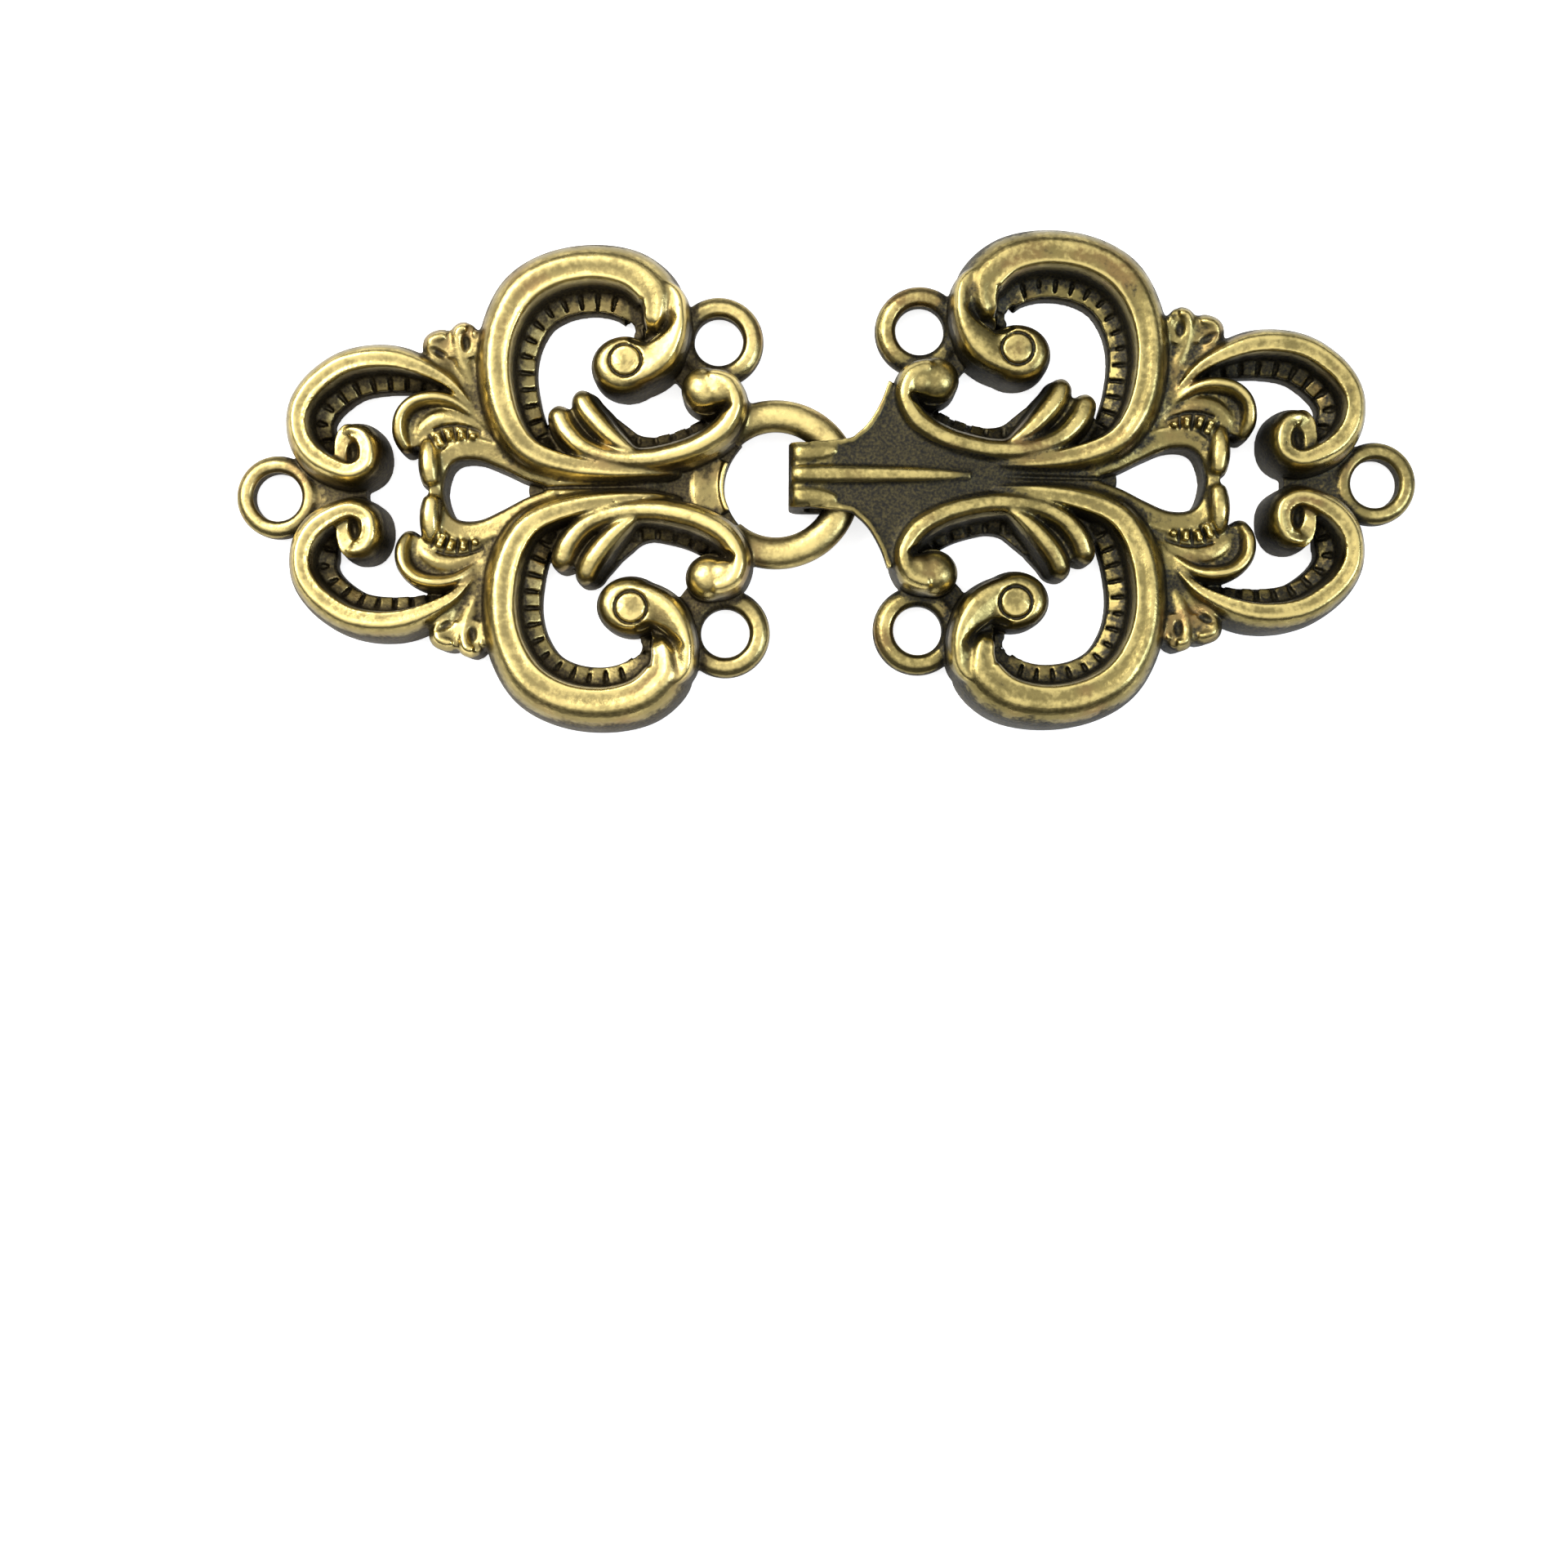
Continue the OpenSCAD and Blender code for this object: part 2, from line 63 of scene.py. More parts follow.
# What both castings share. Melting fills hollow corners above the height meltFrom.
cast = {
    "height": 5.4, "halfBand": 1.8, "ledge": 1.4, "ledgeTop": 1.5, "web": 1.8, "perRow": 8,
    "voxel": 0.105, "soften": 3, "softness": 0.5, "melt": 20, "meltFrom": 2.3, "meltFade": 0.5,
    "meltStep": 0.9, "keelEnd": 0.5, "triangles": 190000,
}


# Points of a half (along, across, up) in the shared frame
def toFrame(half, points):
    p = np.array(points, float)
    turn = math.radians(half["lean"])
    x = half["side"] * (half["ahead"] + p[:, 0])
    y = p[:, 1] + half["slide"]
    out = p.copy()
    out[:, 0] = ringAt[0] + x * math.cos(turn) - y * math.sin(turn)
    out[:, 1] = ringAt[1] + x * math.sin(turn) + y * math.cos(turn)
    return out


def fromFrame(half, points):
    turn = math.radians(half["lean"])
    x = points[:, 0] - ringAt[0]
    y = points[:, 1] - ringAt[1]
    out = points.copy()
    out[:, 0] = half["side"] * (x * math.cos(turn) + y * math.sin(turn)) - half["ahead"]
    out[:, 1] = y * math.cos(turn) - x * math.sin(turn) - half["slide"]
    return out


def splineRows(rows, perRow):
    rows = np.array(rows, float)
    last = len(rows) - 1
    out = []
    for i in range(last):
        a, b, c, d = rows[max(i - 1, 0)], rows[i], rows[i + 1], rows[min(i + 2, last)]
        for j in range(perRow):
            t = j / perRow
            curve = (2 * a - 5 * b + 4 * c - d) * t * t + (3 * b - a - 3 * c + d) * t ** 3
            out.append(0.5 * (2 * b + (c - a) * t + curve))
    out.append(rows[-1])
    return np.array(out)


# Rows of a table in millimetres: x, y, half width, height, ledge width
def sized(rows, half):
    rows = np.array(rows, float)
    scale = np.array([half["reach"], half["rise"], cast["halfBand"], cast["height"], cast["ledge"]])
    return rows * scale[:rows.shape[1]]


# Unit vectors along a path and to its left
def directions(centre):
    step = np.gradient(centre, axis=0)
    step /= np.linalg.norm(step, axis=1)[:, None]
    return step, np.stack([-step[:, 1], step[:, 0]], axis=1)


# How much a rounded end narrows at each distance from it
def roundOff(distance, radius):
    if radius <= 0:
        return np.ones_like(distance)
    t = np.clip(1 - distance / radius, 0, 0.985)
    return np.sqrt(1 - t * t)


# Faces of a grid of n rings of m points, closed round and at both ends
def tubeFaces(n, m):
    faces = [(i * m + k, i * m + (k + 1) % m, (i + 1) * m + (k + 1) % m, (i + 1) * m + k)
             for i in range(n - 1) for k in range(m)]
    return faces + [tuple(range(m)), tuple(range((n - 1) * m, n * m))]


# A band swept along a table's rows. Section columns: share of the half width (outside
# negative), share of the ledge, share of the height, share of the ledge's height.
def sweep(shape, table, half, section, roundStart=0.0, roundEnd=0.0, droop=0.6):
    rows = splineRows(sized(table, half), cast["perRow"])
    centre = rows[:, :2]
    step, left = directions(centre)
    run = np.concatenate([[0], np.cumsum(np.linalg.norm(np.diff(centre, axis=0), axis=1))])
    narrow = roundOff(run, roundStart) * roundOff(run[-1] - run, roundEnd)
    ledge = rows[:, 4] * narrow if rows.shape[1] > 4 else np.zeros(len(rows))
    width = rows[:, 2] * narrow
    height = rows[:, 3] * (droop + (1 - droop) * narrow)
    sec = np.array(section, float)
    side = sec[None, :, 0] * width[:, None] + sec[None, :, 1] * ledge[:, None]
    points = np.empty(side.shape + (3,))
    points[..., 0] = centre[:, None, 0] + left[:, None, 0] * side
    points[..., 1] = centre[:, None, 1] + left[:, None, 1] * side
    points[..., 2] = sec[None, :, 2] * height[:, None] + sec[None, :, 3] * cast["ledgeTop"]
    shape.append((points.reshape(-1, 3), tubeFaces(*side.shape)))
    return rows, left


# A straight-sided plate from an outline of points
def plate(shape, outline, low, high):
    n = len(outline)
    points = [(x, y, low) for x, y in outline] + [(x, y, high) for x, y in outline]
    shape.append((np.array(points, float), tubeFaces(2, n)))


def ground(shape, table, half, high, smooth=4):
    outline = np.array(table + table[:1], float) * (half["reach"], half["rise"])
    closed = np.concatenate([outline[-2:-1], outline, outline[1:2]])
    outline = splineRows(closed, smooth)[smooth:-smooth - 1]
    plate(shape, [tuple(p) for p in outline], 0, high)


# A turned form: profile of (radius, height) about an upright axis, oval and turned in
# plan where asked
def turned(shape, at, profile, oval=(1, 1), turn=0.0, count=40):
    c, s = math.cos(turn), math.sin(turn)
    points = []
    for r, z in profile:
        for k in range(count):
            a = 2 * math.pi * k / count
            x, y = r * oval[0] * math.cos(a), r * oval[1] * math.sin(a)
            points.append((at[0] + x * c - y * s, at[1] + x * s + y * c, z))
    faces = tubeFaces(len(profile), count)
    if profile[0] == profile[-1]:
        rings = len(profile) - 1
        points = points[:-count]
        faces = [tuple(v % (rings * count) for v in f) for f in faces[:-2]]
    shape.append((np.array(points, float), faces))


# An upright post whose top is domed from the spring height up
def domed(spring, top):
    arc = np.linspace(0, math.pi / 2 * 0.97, 10)
    return [(1.0, 0)] + [(math.cos(t), spring + (top - spring) * math.sin(t)) for t in arc]


# Sections of the bands
ledgeFoot = [
    (1, 0.04, 0.34, 0.55), (1, 0.25, 0.16, 0.8), (1, 0.55, 0.06, 0.95), (1, 0.8, 0, 1),
    (1, 0.97, 0, 0.9), (1, 1, 0, 0.7), (1, 1, 0, 0),
]
scrollSection = [
    (-1, 0, 0, 0), (-1, 0, 0.30, 0), (-0.96, 0, 0.46, 0), (-0.88, 0, 0.61, 0), (-0.76, 0, 0.735, 0),
    (-0.6, 0, 0.84, 0), (-0.42, 0, 0.92, 0), (-0.25, 0, 0.968, 0), (-0.1, 0, 0.993, 0), (0.05, 0, 1, 0),
    (0.2, 0, 0.99, 0), (0.35, 0, 0.972, 0), (0.48, 0, 0.96, 0), (0.6, 0, 0.966, 0), (0.72, 0, 0.985, 0),
    (0.80, 0, 0.978, 0), (0.87, 0, 0.945, 0), (0.93, 0, 0.88, 0), (0.98, 0, 0.76, 0), (1, 0, 0.5, 0),
] + ledgeFoot
roundTop = [
    (-1, 0, 0, 0), (-1, 0, 0.35, 0), (-0.96, 0, 0.58, 0), (-0.84, 0, 0.79, 0), (-0.62, 0, 0.92, 0),
    (-0.32, 0, 0.985, 0), (0, 0, 1, 0), (0.32, 0, 0.985, 0), (0.62, 0, 0.92, 0), (0.84, 0, 0.79, 0),
    (0.96, 0, 0.58, 0), (1, 0, 0.35, 0),
]
softSection = roundTop + ledgeFoot
beadSection = roundTop + [(1, 0, 0, 0)]
blendSection = [
    (-1, 0, 0, 0), (-1, 0, 0.80, 0), (-0.75, 0, 0.87, 0), (-0.4, 0, 0.965, 0), (0, 0, 1, 0),
    (0.4, 0, 0.965, 0), (0.75, 0, 0.87, 0), (1, 0, 0.80, 0), (1, 0, 0, 0),
]
keelSection = [
    (-1, 0, 0, 0), (-1, 0, 0.97, 0), (-0.6, 0, 0.995, 0), (0, 0, 1, 0), (0.6, 0, 0.995, 0),
    (1, 0, 0.97, 0), (1, 0, 0, 0),
]
voluteSection = [
    (-1, 0, 0, 0), (-1, 0, 0.34, 0), (-0.97, 0, 0.56, 0), (-0.88, 0, 0.76, 0), (-0.72, 0, 0.9, 0),
    (-0.5, 0, 0.975, 0), (-0.25, 0, 1, 0), (0.1, 0, 0.985, 0), (0.45, 0, 0.95, 0), (0.75, 0, 0.91, 0),
    (0.93, 0, 0.87, 0), (1, 0, 0.7, 0), (1, 0, 0, 0),
]
wingSection = [
    (-1, 0, 0, 0), (-1, 0, 0.74, 0), (-0.9, 0, 0.84, 0), (-0.7, 0, 0.92, 0), (-0.4, 0, 0.95, 0),
    (0, 0, 0.955, 0), (0.4, 0, 0.965, 0), (0.72, 0, 1, 0), (0.88, 0, 0.97, 0), (1, 0, 0.84, 0),
    (1.16, 0, 0.4, 0), (1.3, 0, 0, 0),
]

# Tables of one quarter. Columns: along the reach, across the rise, half width as a
# share of half the band, height as a share of the relief, ledge as a share of its width.
bigScroll = {
    "rows": [
        [0.088, 0.050, 0.14, 0.56, 0.00], [0.158, 0.045, 0.32, 0.78, 0.00], [0.243, 0.047, 0.44, 0.83, 0.10],
        [0.334, 0.069, 0.60, 0.84, 0.15], [0.412, 0.117, 0.68, 0.88, 0.50], [0.458, 0.194, 0.74, 0.92, 0.95],
        [0.490, 0.327, 0.82, 0.95, 1.05], [0.500, 0.500, 0.83, 0.97, 1.05], [0.484, 0.663, 0.89, 0.98, 1.05],
        [0.438, 0.803, 0.96, 1.00, 1.05], [0.362, 0.884, 0.95, 1.00, 1.10], [0.269, 0.908, 0.94, 1.00, 1.15],
        [0.184, 0.874, 0.98, 1.00, 1.15], [0.130, 0.786, 0.98, 1.00, 1.05], [0.126, 0.714, 0.76, 0.98, 0.98],
        [0.132, 0.660, 0.63, 0.95, 0.75], [0.143, 0.608, 0.50, 0.90, 0.45],
    ],
    "roundStart": 0.8,
    "roundEnd": 1.0,
}
bigVolute = {
    "rows": [
        [0.165, 0.850, 0.41, 0.86], [0.098, 0.769, 0.48, 0.96], [0.086, 0.680, 0.50, 1.00],
        [0.095, 0.599, 0.60, 1.00], [0.122, 0.525, 0.80, 0.98], [0.160, 0.470, 0.78, 0.95],
        [0.210, 0.432, 0.60, 0.90], [0.245, 0.440, 0.45, 0.86],
    ],
    "roundEnd": 0.7,
    "head": {"at": (0.207, 0.489), "oval": (1.06, 0.92), "profile": [
        (2.50, 0), (2.50, 2.3), (2.46, 3.1), (2.36, 3.75), (2.18, 4.25), (1.92, 4.6), (1.6, 4.79),
        (1.2, 4.86), (0.2, 4.88),
    ]},
}
sScroll = {
    "rows": [
        [0.030, 0.410, 0.50, 0.94, 0.00], [0.008, 0.418, 0.54, 0.97, 0.00], [-0.024, 0.388, 0.56, 1.00, 0.00],
        [-0.036, 0.306, 0.57, 1.00, 0.20], [-0.007, 0.213, 0.64, 0.98, 0.62],
        [0.050, 0.149, 0.64, 0.95, 0.66], [0.116, 0.114, 0.62, 0.92, 0.66], [0.171, 0.103, 0.60, 0.89, 0.66],
        [0.242, 0.113, 0.56, 0.86, 0.74], [0.303, 0.157, 0.56, 0.84, 0.50], [0.340, 0.224, 0.60, 0.81, 0.10],
        [0.356, 0.286, 0.58, 0.76, 0.10], [0.364, 0.342, 0.50, 0.70, 0.10],
    ],
    "roundStart": 0.5,
    "roundEnd": 0.9,
    "balls": [
        {"at": (0.030, 0.379), "oval": (1.86, 1.74), "turn": 0.5, "spring": 3.4, "top": 5.1},
        {"at": (-0.006, 0.374), "oval": (1.50, 1.20), "turn": 0.0, "spring": 4.3, "top": 5.25},
    ],
}
leafFinger = {
    "rows": [
        [0.172, 0.110, 0.16, 0.80, 0.10], [0.202, 0.143, 0.34, 0.85, 0.20], [0.236, 0.190, 0.50, 0.87, 0.30],
        [0.270, 0.254, 0.58, 0.85, 0.30], [0.297, 0.322, 0.58, 0.80, 0.20], [0.314, 0.402, 0.50, 0.70, 0.10],
    ],
    "roundEnd": 0.95,
    "ground": [[0.210, 0.120], [0.225, 0.170], [0.270, 0.260], [0.305, 0.330], [0.345, 0.300],
               [0.330, 0.220], [0.290, 0.150], [0.240, 0.105]],
    "top": 3.2,
}
outerScroll = {
    "rows": [
        [0.838, 0.210, 0.34, 0.76, 0.00], [0.832, 0.238, 0.36, 0.80, 0.00], [0.815, 0.248, 0.42, 0.85, 0.00],
        [0.788, 0.230, 0.50, 0.89, 0.00], [0.773, 0.170, 0.52, 0.91, 0.00], [0.781, 0.096, 0.52, 0.91, 0.00],
        [0.827, 0.063, 0.52, 0.91, 0.10], [0.894, 0.116, 0.62, 0.91, 0.40], [0.931, 0.197, 0.61, 0.91, 0.85],
        [0.941, 0.293, 0.58, 0.91, 0.90], [0.928, 0.378, 0.61, 0.91, 0.90], [0.891, 0.459, 0.64, 0.91, 0.90],
        [0.831, 0.527, 0.64, 0.91, 0.90], [0.757, 0.550, 0.63, 0.91, 0.90], [0.688, 0.531, 0.57, 0.88, 0.80],
        [0.612, 0.463, 0.38, 0.79, 0.40], [0.570, 0.388, 0.24, 0.69, 0.10], [0.529, 0.286, 0.10, 0.55, 0.10],
    ],
    "roundStart": 0.4,
    "beak": [[0.853, 0.130], [0.855, 0.195], [0.846, 0.245], [0.828, 0.272], [0.800, 0.260], [0.780, 0.200],
             [0.785, 0.120], [0.825, 0.085]],
    "beakTop": 4.15,
}
crescent = {
    "rim": [
        [0.692, 0.156, 0.30, 0.56, 0.20], [0.713, 0.225, 0.38, 0.72, 0.30], [0.710, 0.303, 0.38, 0.78, 0.30],
        [0.682, 0.359, 0.38, 0.80, 0.30], [0.638, 0.378, 0.37, 0.80, 0.30], [0.598, 0.366, 0.32, 0.74, 0.30],
        [0.565, 0.328, 0.26, 0.66, 0.20], [0.542, 0.285, 0.18, 0.58, 0.10],
    ],
    "rimStart": 0.6,
    "blade": [
        [0.682, 0.185, 0.40, 0.54], [0.665, 0.250, 0.58, 0.60], [0.633, 0.292, 0.62, 0.63],
        [0.597, 0.295, 0.60, 0.63], [0.562, 0.270, 0.50, 0.60], [0.528, 0.238, 0.34, 0.55],
    ],
    "bladeStart": 0.4,
    "ground": [[0.700, 0.180], [0.708, 0.280], [0.676, 0.352], [0.630, 0.372], [0.580, 0.345],
               [0.540, 0.290], [0.525, 0.235], [0.600, 0.240], [0.660, 0.200]],
    "top": 2.95,
}
wing = [
    [0.371, 0.022, 0.24, 0.68], [0.427, 0.063, 0.36, 0.65], [0.481, 0.122, 0.47, 0.63],
    [0.534, 0.165, 0.50, 0.62], [0.584, 0.163, 0.44, 0.62], [0.616, 0.124, 0.36, 0.63],
    [0.632, 0.060, 0.34, 0.64], [0.637, -0.014, 0.30, 0.64],
]
heartLobe = {
    "rows": [
        [0.645, 0.218, 0.42, 0.64], [0.649, 0.150, 0.54, 0.75], [0.648, 0.082, 0.56, 0.77],
        [0.643, 0.010, 0.44, 0.70],
    ],
    "roundStart": 0.4,
    "roundEnd": 0.5,
}
fan = {
    "ridges": [
        [[0.526, 0.272, 0.14, 0.52], [0.568, 0.388, 0.44, 0.61], [0.606, 0.478, 0.56, 0.67],
         [0.630, 0.552, 0.50, 0.72], [0.636, 0.602, 0.40, 0.76], [0.616, 0.622, 0.36, 0.76],
         [0.598, 0.618, 0.30, 0.73]],
        [[0.526, 0.296, 0.14, 0.52], [0.549, 0.420, 0.42, 0.62], [0.570, 0.520, 0.54, 0.69],
         [0.579, 0.590, 0.44, 0.74], [0.574, 0.644, 0.36, 0.78], [0.552, 0.655, 0.32, 0.77]],
        [[0.521, 0.289, 0.10, 0.52], [0.529, 0.455, 0.30, 0.62], [0.535, 0.571, 0.34, 0.69],
         [0.542, 0.650, 0.30, 0.75]],
    ],
    "roundEnd": 0.3,
    "ground": [[0.515, 0.240], [0.581, 0.401], [0.634, 0.527], [0.654, 0.600], [0.645, 0.640],
               [0.620, 0.650], [0.590, 0.655], [0.570, 0.680], [0.545, 0.670], [0.525, 0.600],
               [0.500, 0.420]],
    "top": 3.3,
    "heads": [[0.592, 0.540], [0.640, 0.540], [0.650, 0.600], [0.630, 0.635], [0.600, 0.640],
              [0.575, 0.668], [0.545, 0.665], [0.535, 0.600], [0.545, 0.540]],
    "headTop": 3.7,
}
# Short ribs: along and across at the foot and at the head
ribs = {
    "at": [[0.619, 0.180, 0.634, 0.236], [0.600, 0.194, 0.610, 0.250], [0.577, 0.193, 0.577, 0.250],
           [0.551, 0.200, 0.550, 0.232]],
    "width": 0.22,
    "height": 0.69,
    "round": 0.4,
    "ground": [[0.660, 0.170], [0.640, 0.270], [0.590, 0.290], [0.508, 0.262], [0.500, 0.190],
               [0.560, 0.160], [0.620, 0.150]],
    "top": 3.1,
    "dots": [[0.630, 0.222], [0.621, 0.188], [0.607, 0.237], [0.577, 0.236], [0.550, 0.216]],
    "dot": 0.25,
    "sunk": 0.15,
}
# Low webs that fill the corners between the forms above, with their heights in mm
webs = {
    "side": [[0.100, 0.560], [0.060, 0.590], [0.040, 0.480], [0.010, 0.420], [0.060, 0.380], [0.110, 0.480]],
    "bay": [[0.290, 0.300], [0.245, 0.305], [0.2124, 0.2645], [0.1845, 0.2243], [0.1564, 0.2123],
            [0.128, 0.2094], [0.120, 0.150], [0.200, 0.140], [0.280, 0.200]],
    "bayTop": 1.75,
    "leaf": [[0.240, 0.040], [0.220, 0.140], [0.290, 0.250], [0.350, 0.280], [0.420, 0.200], [0.420, 0.080]],
    "crease": [[0.100, 0.600], [0.100, 0.780], [0.140, 0.780], [0.150, 0.700], [0.154, 0.650],
               [0.160, 0.620], [0.155, 0.580], [0.120, 0.540]],
    "creaseTop": 3.9,
    "throat": [[0.130, 0.600], [0.130, 0.760], [0.150, 0.750], [0.172, 0.690], [0.184, 0.650],
               [0.190, 0.622], [0.175, 0.580]],
    "throatTop": 2.1,
    "middle": [[0.030, 0.090], [0.100, 0.050], [0.250, 0.060], [0.400, 0.090], [0.428, 0.060],
               [0.434, 0.008]],
    "middleTop": 1.95,
    "endFoot": (0.80, 0.05),
    "endHead": 0.12,
}
# The volute's button, the sewing loops and the eye's ring, in mm but for shares in "at"
button = {"at": (0.2055, 0.500), "radius": 1.19, "moat": 0.16, "depth": 0.30, "rise": 0.04}
loop = {
    "hole": 1.85, "sideRim": 1.55, "endRim": 1.3, "height": 1.9, "lift": 0.2, "at": 0.602,
    "edge": 0.24, "steps": 72,
}
ring = {
    "radius": 5.18, "halfWidth": 1.23, "halfHeight": 1.0, "z": 2.35, "gap": 46, "steps": (90, 24),
}

# Hollows pressed into the finished skin. Pits: along, across, radii in mm, turn in
# degrees, depth. Grooves: a path of along and across, half width and depth in mm.
pits = [
    (0.817, 0.155, 0.48, 0.95, 6, 0.60),
    (0.620, 0.555, 0.90, 0.38, 27, 0.26),
    (0.560, 0.592, 0.40, 0.72, 0, 0.28),
]
grooves = [
    {"path": [(0.094, 0.688), (0.112, 0.646), (0.136, 0.609), (0.161, 0.589), (0.185, 0.585)],
     "width": 0.58, "depth": 0.48},
    {"path": [(-0.024, 0.322), (-0.012, 0.302), (0.012, 0.290), (0.040, 0.284), (0.070, 0.290)],
     "width": 0.45, "depth": 1.3},
    {"path": [(0.170, 0.0), (0.240, 0.0), (0.320, 0.0), (0.392, 0.0)], "width": 0.20, "depth": 0.3},
    {"path": [(0.632, 0.170), (0.649, 0.226)], "width": 0.17, "depth": 0.15},
    {"path": [(0.609, 0.178), (0.622, 0.246)], "width": 0.17, "depth": 0.15},
    {"path": [(0.588, 0.186), (0.5935, 0.256)], "width": 0.17, "depth": 0.15},
    {"path": [(0.564, 0.190), (0.5635, 0.250)], "width": 0.17, "depth": 0.15},
    {"path": [(0.538, 0.205), (0.536, 0.236), (0.550, 0.250), (0.577, 0.264), (0.610, 0.264),
              (0.636, 0.250)],
     "width": 0.18, "depth": 0.18},
]

# Blocks on the ledges, set by geometry nodes along the middle of each row, where the
# ledge has at least this share of its full width
dentil = {
    "spacing": 1.22, "size": (0.95, 1.25, 0.72), "z": 1.82, "tilt": -0.40, "middle": 0.46, "least": 0.5,
}


def newTree(name, sockets):
    tree = bpy.data.node_groups.new(name, "GeometryNodeTree")
    tree.interface.new_socket("Geometry", in_out="INPUT", socket_type="NodeSocketGeometry")
    for label, kind in sockets:
        tree.interface.new_socket(label, in_out="INPUT", socket_type=kind)
    tree.interface.new_socket("Geometry", in_out="OUTPUT", socket_type="NodeSocketGeometry")
    return tree, tree.nodes.new, tree.links.new


def closeTree(add, link, geometry, material):
    realize = add("GeometryNodeRealizeInstances")
    paint = add("GeometryNodeSetMaterial")
    paint.inputs["Material"].default_value = material
    link(geometry, realize.inputs["Geometry"])
    link(realize.outputs["Geometry"], paint.inputs["Geometry"])
    link(paint.outputs["Geometry"], add("NodeGroupOutput").inputs["Geometry"])


# Blocks set along a curve, as wide as the curve's radius says
def makeDentilTree(material):
    sockets = [("Spacing", "NodeSocketFloat"), ("Block", "NodeSocketVector"), ("Tilt", "NodeSocketVector")]
    tree, add, link = newTree("dentilRow", sockets)
    given = add("NodeGroupInput")
    resample = add("GeometryNodeResampleCurve")
    tangent = add("GeometryNodeInputTangent")
    radius = add("GeometryNodeInputRadius")
    align = add("FunctionNodeAlignRotationToVector")
    cube = add("GeometryNodeMeshCube")
    lean = add("GeometryNodeTransform")
    scale = add("ShaderNodeCombineXYZ")
    place = add("GeometryNodeInstanceOnPoints")
    resample.mode = "LENGTH"
    align.axis = "X"
    align.pivot_axis = "Z"
    scale.inputs["X"].default_value = 1
    scale.inputs["Z"].default_value = 1
    link(given.outputs["Geometry"], resample.inputs["Curve"])
    link(given.outputs["Spacing"], resample.inputs["Length"])
    link(given.outputs["Block"], cube.inputs["Size"])
    link(given.outputs["Tilt"], lean.inputs["Rotation"])
    link(cube.outputs["Mesh"], lean.inputs["Geometry"])
    link(tangent.outputs["Tangent"], align.inputs["Vector"])
    link(radius.outputs["Radius"], scale.inputs["Y"])
    link(resample.outputs["Curve"], place.inputs["Points"])
    link(lean.outputs["Geometry"], place.inputs["Instance"])
    link(align.outputs["Rotation"], place.inputs["Rotation"])
    link(scale.outputs["Vector"], place.inputs["Scale"])
    closeTree(add, link, place.outputs["Instances"], material)
    return tree


# Small round beads on a mesh's points
def makeBeadTree(material):
    tree, add, link = newTree("beadDots", [("Radius", "NodeSocketFloat")])
    given = add("NodeGroupInput")
    ball = add("GeometryNodeMeshIcoSphere")
    place = add("GeometryNodeInstanceOnPoints")
    ball.inputs["Subdivisions"].default_value = 3
    link(given.outputs["Radius"], ball.inputs["Radius"])
    link(given.outputs["Geometry"], place.inputs["Points"])
    link(ball.outputs["Mesh"], place.inputs["Instance"])
    closeTree(add, link, place.outputs["Instances"], material)
    return tree


# The plain mesh that a tree makes on an object, as points and faces
def grown(obj, tree, values):
    modifier = obj.modifiers.new(tree.name, "NODES")
    modifier.node_group = tree
    for item in tree.interface.items_tree:
        if item.item_type == "SOCKET" and item.in_out == "INPUT" and item.name in values:
            modifier[item.identifier] = values[item.name]
    graph = bpy.context.evaluated_depsgraph_get()
    mesh = bpy.data.meshes.new_from_object(obj.evaluated_get(graph))
    points = coordinates(mesh)
    faces = [tuple(p.vertices) for p in mesh.polygons]
    obj.modifiers.remove(modifier)
    bpy.data.objects.remove(obj)
    return points, faces


def linked(name, data):
    obj = bpy.data.objects.new(name, data)
    bpy.context.scene.collection.objects.link(obj)
    return obj


def dentilRow(shape, rows, left, tree):
    keep = rows[:, 4] >= dentil["least"] * cast["ledge"]
    away = rows[keep, 2] + rows[keep, 4] * dentil["middle"]
    middle = rows[keep, :2] + left[keep] * away[:, None]
    curve = bpy.data.curves.new("ledgeMiddle", "CURVE")
    curve.dimensions = "3D"
    spline = curve.splines.new("POLY")
    spline.points.add(len(middle) - 1)
    for point, (x, y), ledge in zip(spline.points, middle, rows[keep, 4]):
        point.co = (x, y, dentil["z"], 1)
        point.radius = ledge / cast["ledge"]
    values = {"Spacing": dentil["spacing"], "Block": dentil["size"], "Tilt": (dentil["tilt"], 0.0, 0.0)}
    shape.append(grown(linked("ledgeMiddle", curve), tree, values))


